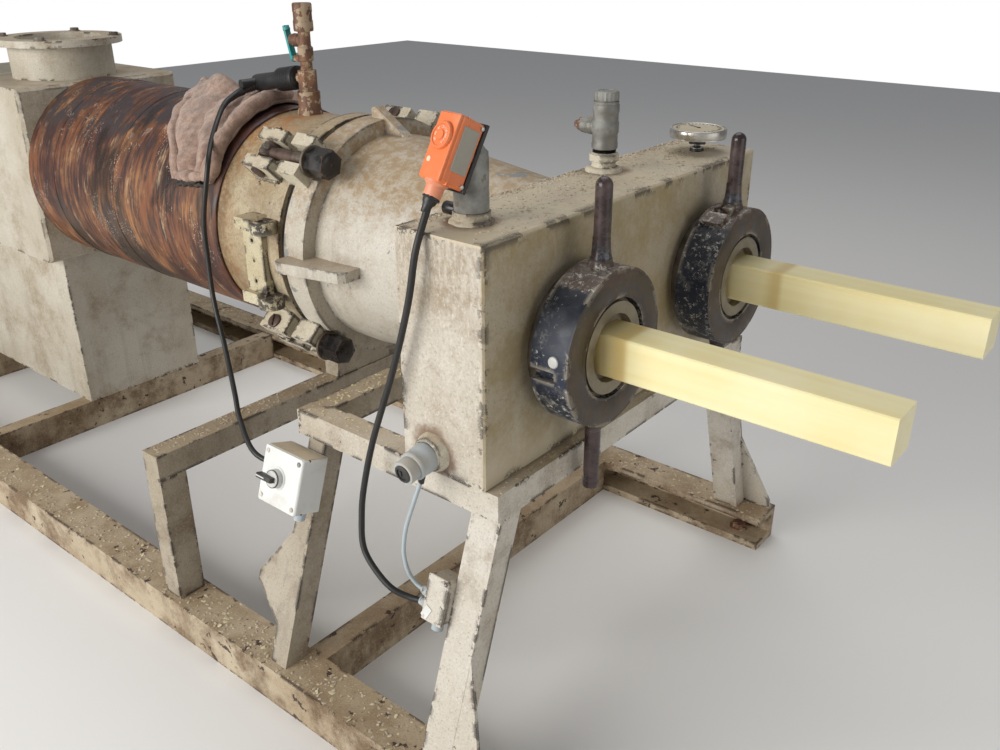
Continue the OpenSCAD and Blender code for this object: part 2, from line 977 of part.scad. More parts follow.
// Round feed inlet with its flange
module feed_inlet() {
  color([0.84, 0.80, 0.70])
    translate([feed_mid_x, 0, axis_z + feed_w / 2])
      difference() {
        union() {
          cylinder(r = inlet_r + inlet_wall, h = inlet_up);
          translate([0, 0, inlet_up - inlet_flange_t])
            cylinder(r = inlet_flange_r, h = inlet_flange_t, $fn = 96);
        }
        translate([0, 0, -1])
          cylinder(r = inlet_r, h = inlet_up + 2);
        for (a = [45 : 90 : 315])
          rotate([0, 0, a])
            translate([inlet_pcd_r, 0, inlet_up - inlet_flange_t - 1])
              cylinder(r = inlet_hole_r, h = inlet_flange_t + 2, $fn = 24);
      }
}

// Pedestal under the feed chamber and gearbox
module feed_pedestal() {
  side_in = 45;
  color([0.80, 0.76, 0.66])
    translate([gear_rear_x + tube / 2, -feed_w / 2 + side_in, rail_h])
      cube([feed_l + gear_l - tube, feed_w - 2 * side_in, feed_z0 - rail_h]);
}

// Reduction gearbox
module gearbox() {
  cover_r = 76;
  cover_t = 16;
  color([0.40, 0.44, 0.42]) {
    translate([gear_rear_x, -gear_w / 2, feed_z0])
      bevel_block(gear_l, gear_w, gear_h, 12);
    along(gear_rear_x - cover_t, cover_t, cover_r, 0, motor_z);
  }
}

// Drive motor behind the gearbox
module motor() {
  cover_t = 16;
  color([0.34, 0.38, 0.38]) {
    along(gear_rear_x - motor_l, motor_l - cover_t, motor_r, 0, motor_z);
    translate([gear_rear_x - motor_l + 100, motor_r - 30, motor_z - 55])
      cube([140, 75, 110]);
  }
}

// Welded boss and pipe that carry the thermostat, cut to the slant of its back plate
module thermostat_pocket() {
  reach = case_d + back_plate_t + seat_run;
  color([0.62, 0.62, 0.60])
    difference() {
      translate([pocket_x - 8, top_mid_y, box_top]) {
        cylinder(r = pocket_boss_r, h = pocket_boss_h);
        cylinder(r = pocket_r, h = pocket_h);
        translate([0, 0, pocket_h])
          cylinder(r1 = pocket_r, r2 = pocket_r - pocket_cap_h, h = pocket_cap_h);
        translate([-pocket_r - side_tube_l + 10, -4, side_tube_z])
          rotate([0, 90, 0])
            cylinder(r = side_tube_r, h = side_tube_l, $fn = 32);
      }
      case_place()
        translate([-case_w, reach - case_h, -case_h])
          cube([2 * case_w, case_h, 2 * case_h]);
    }
}

// Places its child in the frame of the tilted thermostat face
module case_place() {
  translate(case_face)
    rotate([-case_lean, 0, -case_turn])
      children();
}

// Thermostat case with its black back plate and cable gland
module thermostat_case() {
  color([0.92, 0.36, 0.14])
    case_place() {
      translate([-case_w / 2, 0, -case_h / 2])
        bevel_block(case_w, case_d, case_h, 4);
      translate([-case_w / 2 - 2, case_d - 1, -case_h / 2 - 2])
        cube([case_w + 4, back_plate_t + 1, case_h + 4]);
      translate([0, case_d / 3, -case_h / 2 - gland_l + 2])
        cylinder(r = gland_r, h = gland_l, $fn = 32);
      translate([0, case_d / 3, -case_h / 2 - gland_l - gland_cap_l + 3])
        cylinder(r = gland_cap_r, h = gland_cap_l, $fn = 32);
    }
}

module thermostat_dial() {
  color([0.90, 0.30, 0.10])
    case_place()
      translate([0, -0.5, dial_up])
        rotate([90, 0, 0])
          cylinder(r = dial_r, h = dial_t, $fn = 48);
}

// Air vent with a scalloped cap and a side plug
module vent_fitting() {
  color([0.60, 0.60, 0.58])
    translate([vent_x, vent_y, box_top]) {
      cylinder(r = vent_foot_r, h = vent_foot_h, $fn = 48);
      cylinder(r = vent_neck_r, h = vent_cap_z + 1, $fn = 48);
      translate([0, 0, vent_rim_z])
        cylinder(r = vent_rim_r, h = vent_rim_h, $fn = 48);
      translate([0, 0, vent_body_z])
        cylinder(r = vent_body_r, h = vent_body_h, $fn = 48);
      translate([0, 0, vent_cap_z])
        cylinder(r = vent_cap_r, h = vent_cap_h, $fn = 48);
      translate([-vent_side_l, 0, vent_side_z])
        rotate([0, 90, 0])
          cylinder(r = vent_side_r, h = vent_side_l, $fn = 32);
    }
}

// Dial thermometer that faces upwards
module thermometer() {
  color([0.70, 0.68, 0.62])
    translate([gauge_x, gauge_y, box_top]) {
      cylinder(r = gauge_foot_r, h = gauge_foot_h, $fn = 32);
      cylinder(r = gauge_stem_r, h = gauge_z, $fn = 24);
      translate([0, 0, gauge_z - gauge_collar_h])
        cylinder(r = gauge_collar_r, h = gauge_collar_h, $fn = 32);
      translate([0, 0, gauge_z])
        cylinder(r = gauge_r, h = gauge_t, $fn = 64);
    }
}

// Heater plug on the near end of the box
module heater_fitting() {
  color([0.62, 0.64, 0.63])
    translate([heater_x, -box_l / 2, heater_z])
      rotate([90, 0, 0]) {
        cylinder(r = heater_boss_r, h = heater_boss_l, $fn = 48);
        translate([0, 0, heater_boss_l - 5])
          rotate([heater_droop, 0, 0]) {
            cylinder(r = heater_bell_r, h = heater_bell_l + 5, $fn = 48);
            translate([0, 0, heater_bell_l + 5])
              cylinder(r = heater_plug_r, h = heater_plug_l, $fn = 32);
          }
      }
}

// Valve stack on top of the barrel neck
module barrel_valve() {
  color([0.60, 0.42, 0.30])
    translate([valve_x, 0, valve_z]) {
      cylinder(r = valve_boss_r, h = valve_boss_h, $fn = 32);
      translate([0, 0, valve_boss_h])
        cylinder(r = valve_hex_af / 2 / cos(30), h = valve_hex_h, $fn = 6);
      translate([0, 0, valve_boss_h])
        cylinder(r = valve_pipe_r, h = valve_cap_z - valve_boss_h, $fn = 32);
      translate([0, 0, valve_cap_z])
        cylinder(r = valve_cap_r, h = valve_cap_h, $fn = 32);
      translate([-branch_l, 0, branch_z])
        rotate([0, 90, 0])
          cylinder(r = branch_r, h = branch_l, $fn = 24);
      translate([-outlet_l, 0, outlet_z])
        rotate([0, 90, 0])
          cylinder(r = outlet_r, h = outlet_l, $fn = 24);
      translate([lever_x + lever_stem_r - 1, 0, lever_z])
        rotate([0, 90, 0])
          cylinder(r = lever_stem_r, h = -lever_x, $fn = 24);
    }
}

// Teal lever on the side of the valve
module valve_lever() {
  color([0.10, 0.50, 0.50])
    translate([valve_x + lever_x + lever_stem_r - 1 - lever_run, 0, valve_z + lever_z])
      rotate([0, -90, 0]) {
        cylinder(r = lever_stem_r, h = lever_t, $fn = 24);
        rotate([0, -lever_lean, 0])
          translate([0, -lever_w / 2, 1])
            cube([lever_l, lever_w, lever_t]);
      }
}

// Black probe plug on the side branch
module probe_head() {
  color([0.09, 0.09, 0.09])
    translate([valve_x - branch_l, 0, valve_z + branch_z])
      rotate([0, -90 - probe_droop, 0]) {
        cylinder(r = probe_r, h = probe_l, $fn = 32);
        translate([0, 0, probe_l])
          cylinder(r = probe_grip_r, h = probe_grip_l, $fn = 32);
        translate([0, 0, probe_l + probe_grip_l - 12])
          rotate([probe_turn, 0, 0])
            cylinder(r = probe_tail_r, h = probe_tail_l, $fn = 24);
      }
}

// Places its child on the outer face of a near leg
module on_leg(x, down) {
  translate([x, -leg_top_y - leg_d / 2 - down * leg_slope, leg_top_z - down])
    rotate([-leg_tilt, 0, 0])
      children();
}

// Selector box on the rear leg
module selector_box() {
  strip_w = 30;
  color([0.90, 0.90, 0.88])
    on_leg(selector_x, selector_down) {
      translate([-selector_side / 2, -selector_d - stand_off, -selector_side / 2])
        bevel_block(selector_side, selector_d, selector_side, 4);
      translate([selector_side / 2 - 18, -selector_d / 2 - stand_off, -selector_side / 2])
        mirror([0, 0, 1])
          cylinder(r = selector_gland_r, h = selector_gland_l, $fn = 32);
      translate([-strip_w / 2 + 10, -stand_off - 1, -selector_side / 2 + 10])
        cube([strip_w, stand_off + 1, selector_side - 20]);
      translate([back_gland_x, -stand_off + back_gland_l, 0])
        rotate([90, 0, 0])
          cylinder(r = back_gland_r, h = back_gland_l + 1, $fn = 32);
    }
}

// Rotary knob with its lever
module selector_knob() {
  grip_w = 9;
  grip_h = 12;
  color([0.12, 0.12, 0.12])
    on_leg(selector_x + knob_x, selector_down - knob_z)
      translate([0, -selector_d - stand_off - knob_run, 0])
        rotate([90, 0, 0]) {
          cylinder(r = knob_r, h = knob_h, $fn = 40);
          translate([-knob_lever_l, -grip_w / 2, knob_h - 2])
            cube([knob_lever_l + grip_w, grip_w, grip_h]);
        }
}

// Junction box on the side of the front leg
module junction_box() {
  color([0.82, 0.78, 0.68])
    on_leg(junction_x, junction_down) {
      translate([-junction_w / 2, -junction_out, -junction_h / 2])
        bevel_block(junction_w, junction_d, junction_h, 5);
      for (z = [junction_gland_z, -junction_gland_z])
        translate([-junction_w / 2, junction_gland_r + 3 - junction_out, z - junction_gland_drop])
          rotate([0, -90, 0])
            cylinder(r = junction_gland_r, h = junction_gland_l, $fn = 24);
      translate([0, -junction_out + junction_d / 2, -junction_h / 2 - junction_elbow_l + 1])
        cylinder(r = junction_elbow_r, h = junction_elbow_l, $fn = 24);
    }
}

// Smooth curve through four route points
function curve(a, b, c, d, t) =
  0.5 * (2 * b + (c - a) * t + (2 * a - 5 * b + 4 * c - d) * t * t + (3 * b - a - 3 * c + d) * t * t * t);

// Round cord swept through a list of points
module cord(pts, r, n) {
  m = len(pts);
  path = [for (i = [0 : m - 2]) for (j = [0 : n - 1])
    curve(pts[max(i - 1, 0)], pts[i], pts[i + 1], pts[min(i + 2, m - 1)], j / n), pts[m - 1]];
  k = len(path);
  sides = 10;
  rings = [for (i = [0 : k - 1])
    let (tan = path[min(i + 1, k - 1)] - path[max(i - 1, 0)],
      t = tan / norm(tan),
      u0 = cross(t, [0, 1, 0]),
      u = u0 / norm(u0),
      v = cross(t, u))
    [for (q = [0 : sides - 1]) path[i] + r * (cos(360 * q / sides) * u + sin(360 * q / sides) * v)]];
  polyhedron(
    points = [for (ring = rings) for (q = ring) q],
    faces = concat(
      [[for (q = [0 : sides - 1]) q]],
      [for (i = [0 : k - 2]) for (q = [0 : sides - 1])
        [i * sides + q, (i + 1) * sides + q, (i + 1) * sides + (q + 1) % sides, i * sides + (q + 1) % sides]],
      [[for (q = [sides - 1 : -1 : 0]) (k - 1) * sides + q]]));
}

// Routes of the three cords, as round numbers
thermostat_route = [[269, -415, 1025], [268, -431, 993], [266, -448, 950], [252, -453, 870], [214, -454, 752],
  [166, -462, 613], [146, -473, 514], [148, -484, 459], [160, -495, 416], [188, -500, 388], [228, -500, 364],
  [260, -489, 353], [284, -481, 352]];
heater_route = [[275, -463, 588], [274, -465, 572], [269, -477, 538], [258, -486, 490], [250, -486, 440],
  [256, -484, 402], [268, -478, 379], [284, -475, 371]];
probe_route = [[-653, -48, 1053], [-655, -66, 1047], [-645, -104, 1033], [-612, -150, 1010],
  [-560, -212, 970],
  [-526, -250, 930], [-534, -270, 823], [-532, -275, 737], [-514, -286, 652], [-444, -319, 563],
  [-364, -363, 496], [-325, -385, 459], [-255, -410, 418], [-190, -402, 408], [-132, -384, 420],
  [-98, -390, 437], [-85, -411, 446], [-84, -433, 450]];

module thermostat_cable() {
  color([0.08, 0.08, 0.08])
    cord(thermostat_route, cable_r, 5);
}

module heater_cable() {
  color([0.60, 0.70, 0.76])
    cord(heater_route, thin_cable_r, 5);
}

module probe_cable() {
  color([0.09, 0.09, 0.09])
    cord(probe_route, cable_r, 5);
}

die_box();
head_cone();
head_ribs();
head_flange();
head_lugs();
seal_ring();
barrel_flange();
hinge_bracket();
barrel_lugs();
clevis_pins();
barrel_jacket();
insulation_wrap();
die_neck_near();
die_neck_far();
die_plate_near();
die_plate_far();
bar_near();
bar_far();
ring_nut_near();
ring_nut_far();
swing_bolt_1();
swing_bolt_2();
swing_bolt_3();
swing_bolt_4();
frame_near();
frame_far();
frame_front_bar();
frame_rear_bar();
leg_front_near();
leg_front_far();
leg_rear_near();
leg_rear_far();
base_rail_near();
base_rail_far();
stretcher_front();
stretcher_mid();
stretcher_rear();
support_beam();
support_post_near();
support_post_far();
feed_chamber();
feed_inlet();
feed_pedestal();
gearbox();
motor();
thermostat_pocket();
thermostat_case();
thermostat_dial();
vent_fitting();
thermometer();
heater_fitting();
barrel_valve();
valve_lever();
probe_head();
selector_box();
selector_knob();
junction_box();
thermostat_cable();
heater_cable();
probe_cable();
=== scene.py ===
# %% [markdown]
# The press is dressed in Blender on top of the frame that OpenSCAD and MuJoCo share.
# The first cell loads that frame.

# %% Load the shared frame
import bpy
import bmesh
import math
import random
from mathutils import Matrix, Vector


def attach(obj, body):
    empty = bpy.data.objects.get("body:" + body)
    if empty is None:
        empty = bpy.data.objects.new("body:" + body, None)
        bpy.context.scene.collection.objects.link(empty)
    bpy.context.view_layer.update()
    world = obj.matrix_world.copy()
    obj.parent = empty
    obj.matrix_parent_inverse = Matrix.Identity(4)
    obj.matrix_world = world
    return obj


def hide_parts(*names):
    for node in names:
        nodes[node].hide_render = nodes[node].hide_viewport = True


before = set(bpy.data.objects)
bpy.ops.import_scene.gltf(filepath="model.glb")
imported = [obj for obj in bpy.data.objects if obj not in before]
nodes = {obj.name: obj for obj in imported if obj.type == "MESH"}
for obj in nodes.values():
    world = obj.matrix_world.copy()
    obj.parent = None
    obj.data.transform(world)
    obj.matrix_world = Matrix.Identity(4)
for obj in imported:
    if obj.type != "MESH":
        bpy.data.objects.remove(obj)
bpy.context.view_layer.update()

# %% [markdown]
# The camera comes first, because the cords are judged by what it sees.
# It stands in front of the near corner and looks 25 degrees down.

# %% Camera
cam = bpy.data.cameras.new("main")
cam.lens = 33.84
cam.sensor_width = 36
cam.clip_end = 60
eye = bpy.data.objects.new("main", cam)
eye.location = (1.194, -1.392, 1.371)
eye.rotation_euler = (math.radians(65.0), 0.0, math.radians(39.12))
bpy.context.collection.objects.link(eye)
bpy.context.scene.camera = eye
print("camera", tuple(eye.location))

# %% [markdown]
# Small helpers build a shader tree in a few readable words.
# `add` makes one shader node, `wire` joins two sockets, and `ramp` squeezes a value between two limits.

# %% Shader helpers
def add(tree, kind, **inputs):
    n = tree.nodes.new(kind)
    for key, value in inputs.items():
        n.inputs[key.replace("_", " ")].default_value = value
    return n


def wire(tree, a, b):
    tree.links.new(a, b)


def ramp(tree, value, low, high, to_low=0.0, to_high=1.0):
    n = tree.nodes.new("ShaderNodeMapRange")
    n.interpolation_type = "SMOOTHSTEP"
    for key, v in (("From Min", low), ("From Max", high), ("To Min", to_low), ("To Max", to_high)):
        n.inputs[key].default_value = v
    wire(tree, value, n.inputs["Value"])
    return n.outputs["Result"]


def maths(tree, op, a, b=None):
    n = tree.nodes.new("ShaderNodeMath")
    n.operation = op
    for i, v in enumerate((a, b)):
        if v is None:
            continue
        if isinstance(v, (int, float)):
            n.inputs[i].default_value = v
        else:
            wire(tree, v, n.inputs[i])
    return n.outputs[0]


def times(tree, a, b):
    return maths(tree, "MULTIPLY", a, b)


def plus(tree, a, b):
    return maths(tree, "ADD", a, b)


def minus(tree, a, b):
    return maths(tree, "SUBTRACT", a, b)


def most(tree, a, b):
    return maths(tree, "MAXIMUM", a, b)


def above(tree, a, b):
    return maths(tree, "GREATER_THAN", a, b)


print("sums ready")

# %% [markdown]
# `blend` mixes two colours by a mask, `noise` is a cloud pattern that can be drawn out along
# an axis, and `axes` takes a vector apart.

# %% Colours and patterns
def blend(tree, fac, a, b):
    n = tree.nodes.new("ShaderNodeMix")
    n.data_type = "RGBA"
    for i, v in ((0, fac), (6, a), (7, b)):
        if isinstance(v, (int, float)):
            n.inputs[i].default_value = v
        elif isinstance(v, tuple):
            n.inputs[i].default_value = (*v, 1.0)
        else:
            wire(tree, v, n.inputs[i])
    return n.outputs[2]


def noise(tree, where, scale, detail=6.0, rough=0.55, stretch=(1, 1, 1)):
    if stretch != (1, 1, 1):
        m = tree.nodes.new("ShaderNodeMapping")
        m.inputs["Scale"].default_value = stretch
        wire(tree, where, m.inputs["Vector"])
        where = m.outputs["Vector"]
    n = tree.nodes.new("ShaderNodeTexNoise")
    n.inputs["Scale"].default_value = scale
    n.inputs["Detail"].default_value = detail
    n.inputs["Roughness"].default_value = rough
    wire(tree, where, n.inputs["Vector"])
    return n.outputs["Fac"]


def axes(tree, where):
    n = tree.nodes.new("ShaderNodeSeparateXYZ")
    wire(tree, where, n.inputs["Vector"])
    return n.outputs["X"], n.outputs["Y"], n.outputs["Z"]


print("pattern helpers ready")

# %% [markdown]
# Node groups start alike: a row of named inputs, one output, and the two end nodes.
# The ports keep each input's identifier, which a modifier asks for by that name.
# `placed` is what both geometry groups end with.

# %% Group starter
def new_group(name, tree_kind, inputs, output):
    g = bpy.data.node_groups.new(name, tree_kind)
    ports = {}
    for label, kind, value in inputs:
        s = g.interface.new_socket(name=label, in_out="INPUT", socket_type="NodeSocket" + kind)
        if value is not None:
            s.default_value = value
        ports[label] = s.identifier
    g.interface.new_socket(name=output[0], in_out="OUTPUT", socket_type="NodeSocket" + output[1])
    return g, g.nodes.new("NodeGroupInput"), g.nodes.new("NodeGroupOutput"), ports


def placed(g, points, shape, finish):
    # The shape stands on every point, made real and in one material.
    inst = g.nodes.new("GeometryNodeInstanceOnPoints")
    real = g.nodes.new("GeometryNodeRealizeInstances")
    paint = g.nodes.new("GeometryNodeSetMaterial")
    wire(g, points, inst.inputs["Points"])
    wire(g, shape, inst.inputs["Instance"])
    wire(g, inst.outputs["Instances"], real.inputs["Geometry"])
    wire(g, real.outputs["Geometry"], paint.inputs["Geometry"])
    wire(g, finish, paint.inputs["Material"])
    return inst, paint.outputs["Geometry"]


print("group starter ready")

# %% [markdown]
# Wear is shared by most coats, so it is a node group of its own.
# It puts out one mask for paint that is chipped away: on the edges, found by comparing
# the true normal with a rounded one, and in loose patches on the flats.

# %% Wear group
def make_wear():
    g, src, out, _ = new_group("wear", "ShaderNodeTree",
                               [("Vector", "Vector", None), ("Scale", "Float", 30.0),
                                ("Edge", "Float", 1.0), ("Patch", "Float", 0.2),
                                ("Reach", "Float", 0.014)], ("Mask", "Float"))
    soft = g.nodes.new("ShaderNodeBevel")
    soft.samples = 6
    wire(g, src.outputs["Reach"], soft.inputs["Radius"])
    geo = g.nodes.new("ShaderNodeNewGeometry")
    dot = g.nodes.new("ShaderNodeVectorMath")
    dot.operation = "DOT_PRODUCT"
    wire(g, soft.outputs["Normal"], dot.inputs[0])
    wire(g, geo.outputs["Normal"], dot.inputs[1])
    edge = ramp(g, dot.outputs["Value"], 0.9995, 0.93)
    n = g.nodes.new("ShaderNodeTexNoise")
    n.inputs["Detail"].default_value = 8.0
    n.inputs["Roughness"].default_value = 0.62
    wire(g, src.outputs["Vector"], n.inputs["Vector"])
    wire(g, src.outputs["Scale"], n.inputs["Scale"])
    here = ramp(g, noise(g, src.outputs["Vector"], 16.0, 6.0, 0.68), 0.46, 0.62, 0.12, 1.10)
    e = times(g, times(g, edge, src.outputs["Edge"]), here)
    jag = g.nodes.new("ShaderNodeTexNoise")
    jag.inputs["Detail"].default_value = 6.0
    jag.inputs["Roughness"].default_value = 0.72
    wire(g, src.outputs["Vector"], jag.inputs["Vector"])
    wire(g, times(g, src.outputs["Scale"], 3.2), jag.inputs["Scale"])
    e = plus(g, e, jag.outputs["Fac"])
    edge_chip = ramp(g, e, 0.98, 1.02)
    low = minus(g, 0.80, times(g, src.outputs["Patch"], 0.22))
    patch = above(g, n.outputs["Fac"], low)
    top = most(g, edge_chip, patch)
    wire(g, top, out.inputs["Mask"])
    return g


wear = make_wear()
print("group", wear.name, [s.name for s in wear.interface.items_tree])

# %% [markdown]
# Streaks run down with gravity: noise that is drawn out along Z and quick along X and Y.
# Specks are small round dots scattered by cell noise.

# %% Streak and speck groups
def make_streaks():
    inputs = [("Vector", "Vector", None), ("Amount", "Float", 0.5)]
    g, src, out, _ = new_group("streaks", "ShaderNodeTree", inputs, ("Mask", "Float"))
    fine = noise(g, src.outputs["Vector"], 38.0, 4.0, 0.6, (1, 1, 0.06))
    wide = noise(g, src.outputs["Vector"], 7.0, 4.0, 0.6, (1, 1, 0.5))
    both = times(g, ramp(g, fine, 0.45, 0.75), ramp(g, wide, 0.38, 0.62))
    wire(g, times(g, both, src.outputs["Amount"]), out.inputs["Mask"])
    return g


def make_specks():
    inputs = [("Vector", "Vector", None), ("Scale", "Float", 160.0), ("Size", "Float", 0.25),
              ("Cover", "Float", 0.5)]
    g, src, out, _ = new_group("specks", "ShaderNodeTree", inputs, ("Mask", "Float"))
    cell = g.nodes.new("ShaderNodeTexVoronoi")
    cell.inputs["Randomness"].default_value = 1.0
    wire(g, src.outputs["Vector"], cell.inputs["Vector"])
    wire(g, src.outputs["Scale"], cell.inputs["Scale"])
    near = maths(g, "LESS_THAN", cell.outputs["Distance"], src.outputs["Size"])
    area = noise(g, src.outputs["Vector"], 9.0, 5.0, 0.65)
    low = minus(g, 1.0, src.outputs["Cover"])
    here = above(g, area, low)
    wire(g, times(g, near, here), out.inputs["Mask"])
    return g


def use(tree, group, where, **inputs):
    n = tree.nodes.new("ShaderNodeGroup")
    n.node_tree = group
    wire(tree, where, n.inputs["Vector"])
    for key, v in inputs.items():
        n.inputs[key].default_value = v
    return n.outputs["Mask"]


streaks = make_streaks()
specks = make_specks()
print("groups", [g.name for g in (wear, streaks, specks)])

# %% [markdown]
# `coat` starts any material: a Principled shader and its Object coordinates.
# `finish_coat` then joins the colour, the roughness and a little bump to the shader.

# %% Material starters
made = {}


def coat(name, metallic=0.0, roughness=0.5):
    m = bpy.data.materials.new(name)
    made[name] = m
    m.use_nodes = True
    t = m.node_tree
    b = t.nodes["Principled BSDF"]
    b.inputs["Metallic"].default_value = metallic
    b.inputs["Roughness"].default_value = roughness
    where = t.nodes.new("ShaderNodeTexCoord").outputs["Object"]
    return m, t, b, where


def finish_coat(t, b, colour, rough=None, height=None, strength=0.3, distance=0.002):
    if isinstance(colour, tuple):
        b.inputs["Base Color"].default_value = (*colour, 1.0)
    else:
        wire(t, colour, b.inputs["Base Color"])
    if rough is not None:
        wire(t, rough, b.inputs["Roughness"])
    if height is not None:
        bump = add(t, "ShaderNodeBump", Strength=strength, Distance=distance)
        wire(t, height, bump.inputs["Height"])
        wire(t, bump.outputs["Normal"], b.inputs["Normal"])


# %% [markdown]
# The paints differ in colour, in what shows through, and in how far they have gone.
# Each one is a clean coat, then a second tone, stains, streaks, and last the chips.

# %% Painted coats
SETTLED_DUST = (0.42, 0.31, 0.19)


def painted(name, base, tone, stain, under, chips=(32.0, 1.0, 0.15), stained=(0.45, 0.75, 0.7),
            runs=0.6, rough=0.5, scale=3.5, dust=0.55, reach=0.014, extra=None):
    # chips: scale, edge, patch. stained: from, to, strength. under: what shows where paint is gone.
    m, t, b, where = coat(name)
    broad = noise(t, where, scale, 7.0, 0.6)
    c = blend(t, ramp(t, broad, 0.35, 0.7), base, tone)
    grime = noise(t, where, scale * 2.7, 9.0, 0.7)
    g = times(t, ramp(t, grime, stained[0], stained[1]), stained[2])
    c = blend(t, g, c, stain)
    c = blend(t, use(t, streaks, where, Amount=runs), c, tuple(v * 0.6 for v in stain))
    _, _, upward = axes(t, t.nodes.new("ShaderNodeNewGeometry").outputs["True Normal"])
    settled = times(t, ramp(t, upward, 0.5, 0.95), ramp(t, grime, 0.28, 0.62, dust * 0.45, dust))
    c = blend(t, settled, c, SETTLED_DUST)
    grain = noise(t, where, 260.0, 4.0, 0.75)
    c = blend(t, ramp(t, grain, 0.54, 0.70, 0.0, 0.60), c, tuple(v * 0.7 for v in stain))
    c = blend(t, ramp(t, grain, 0.44, 0.32, 0.0, 0.50), c, tuple(min(1.0, v * 1.35) for v in base))
    if extra:
        c = extra(t, where, c, grime)
    chip = use(t, wear, where, Scale=chips[0], Edge=chips[1], Patch=chips[2], Reach=reach)
    c = blend(t, chip, c, under)
    r = plus(t, ramp(t, grime, 0.3, 0.8, rough - 0.12, rough + 0.25), times(t, chip, 0.15))
    h = minus(t, plus(t, times(t, grime, 0.35), times(t, grain, 0.5)), chip)
    finish_coat(t, b, c, r, h, 0.45, 0.0014)
    return m


print("paint builder ready")

# %% [markdown]
# Some castings carry marks of their own: runs from the rim of the box, painted bounce light low on
# its front, ochre crust on the neck, darker hinge eyes. Each layer takes the colour so far and changes it.

# %% Dirt, darkening and painted bounce light of single castings
def ring_stain(t, where, at, inner, outer, fray):
    # A round stain about the point at, with a frayed rim.
    d = t.nodes.new("ShaderNodeVectorMath")
    d.operation = "DISTANCE"
    wire(t, where, d.inputs[0])
    d.inputs[1].default_value = at
    return ramp(t, plus(t, d.outputs["Value"], times(t, fray, 0.05)), outer + 0.025, inner + 0.025)


def box_dirt_and_bounce_light(t, where, c, _):
    x, y, z = axes(t, where)
    near_end = ramp(t, y, -0.424, -0.428)
    front = ramp(t, x, 0.372, 0.380)
    broken = noise(t, where, 21.0, 9.0, 0.76)
    runs = noise(t, where, 130.0, 8.0, 0.76, (1, 1, 0.22))
    upper = ramp(t, plus(t, z, times(t, broken, 0.42)), 0.98, 1.20)
    trail = times(t, times(t, upper, near_end), ramp(t, runs, 0.42, 0.60))
    c = blend(t, times(t, trail, 0.55), c, (0.22, 0.155, 0.090))
    blotch = times(t, times(t, upper, near_end), ramp(t, broken, 0.46, 0.62))
    c = blend(t, times(t, blotch, 0.62), c, (0.27, 0.20, 0.115))
    white = times(t, near_end, ramp(t, noise(t, where, 170.0, 8.0, 0.76, (1, 1, 0.40)), 0.56, 0.64))
    c = blend(t, times(t, white, 0.55), c, (0.74, 0.72, 0.67))
    fine = noise(t, where, 95.0, 7.0, 0.75)
    c = blend(t, ramp(t, fine, 0.54, 0.68, 0.0, 0.50), c, (0.25, 0.18, 0.105))
    smear = noise(t, where, 9.0, 9.0, 0.74)
    c = blend(t, times(t, front, ramp(t, smear, 0.38, 0.62, 0.46, 0.86)), c, (0.325, 0.245, 0.108))
    drip = times(t, front, times(t, ramp(t, runs, 0.52, 0.66), ramp(t, z, 0.86, 0.97)))
    c = blend(t, times(t, drip, 0.25), c, (0.56, 0.50, 0.38))
    lid = times(t, ramp(t, z, 0.972, 0.978), ramp(t, smear, 0.42, 0.60, 0.35, 0.95))
    c = blend(t, lid, c, (0.58, 0.50, 0.35))
    # Painted bounce light: the lower part of the front face is made lighter, as light off the floor would
    # make it.
    foot = times(t, front, ramp(t, plus(t, z, times(t, smear, 0.20)), 0.80, 0.68))
    c = blend(t, times(t, foot, 0.75), c, (0.56, 0.49, 0.36))
    for spot in ((0.284, -0.341, 0.979), (0.246, 0.077, 0.979), (0.272, -0.429, 0.614)):
        c = blend(t, times(t, ring_stain(t, where, spot, 0.034, 0.056, broken), 0.80), c,
                  (0.15, 0.070, 0.030))
    return c


def head_dirt(t, where, c, _):
    z = axes(t, where)[2]
    runs = noise(t, where, 48.0, 10.0, 0.76)
    top = ramp(t, plus(t, z, times(t, runs, 0.30)), 0.98, 1.12)
    c = blend(t, times(t, top, ramp(t, runs, 0.42, 0.58, 0.10, 0.80)), c, (0.32, 0.21, 0.10))
    grey = noise(t, where, 13.0, 5.0, 0.6)
    c = blend(t, above(t, grey, 0.655), c, (0.24, 0.235, 0.22))
    return c


def neck_dirt(t, where, c, _):
    x, _, z = axes(t, where)
    crust = noise(t, where, 80.0, 9.0, 0.76)
    ragged = noise(t, where, 22.0, 8.0, 0.7, (1, 0.5, 0.5))
    near = ramp(t, plus(t, x, times(t, ragged, 0.16)), -0.375, -0.452)
    c = blend(t, times(t, near, ramp(t, crust, 0.42, 0.58, 0.10, 0.85)), c, (0.30, 0.14, 0.042))
    c = blend(t, ramp(t, crust, 0.50, 0.60, 0.0, 0.50), c, (0.22, 0.15, 0.075))
    blot = noise(t, where, 14.0, 9.0, 0.74)
    top = times(t, ramp(t, z, 0.95, 1.02), ramp(t, x, -0.40, -0.47))
    orange_run = times(t, top, ramp(t, blot, 0.44, 0.60))
    c = blend(t, times(t, orange_run, 0.8), c, (0.42, 0.17, 0.045))
    return c


def knuckle_darkening(t, where, c, grime):
    # The eyes of the hinge bracket are made almost black in broken patches.
    broken = noise(t, where, 52.0, 8.0, 0.75)
    for z in (0.840, 0.680):
        near = ring_stain(t, where, (-0.340, -0.262, z), 0.026, 0.040, grime)
        c = blend(t, times(t, near, ramp(t, broken, 0.555, 0.525)), c, (0.045, 0.036, 0.032))
    return c


print("dirt layers ready")

# %% [markdown]
# Now the paints themselves. The colours are linear RGB: the coat, its second tone, the stain,
# and the metal or primer under the chips.

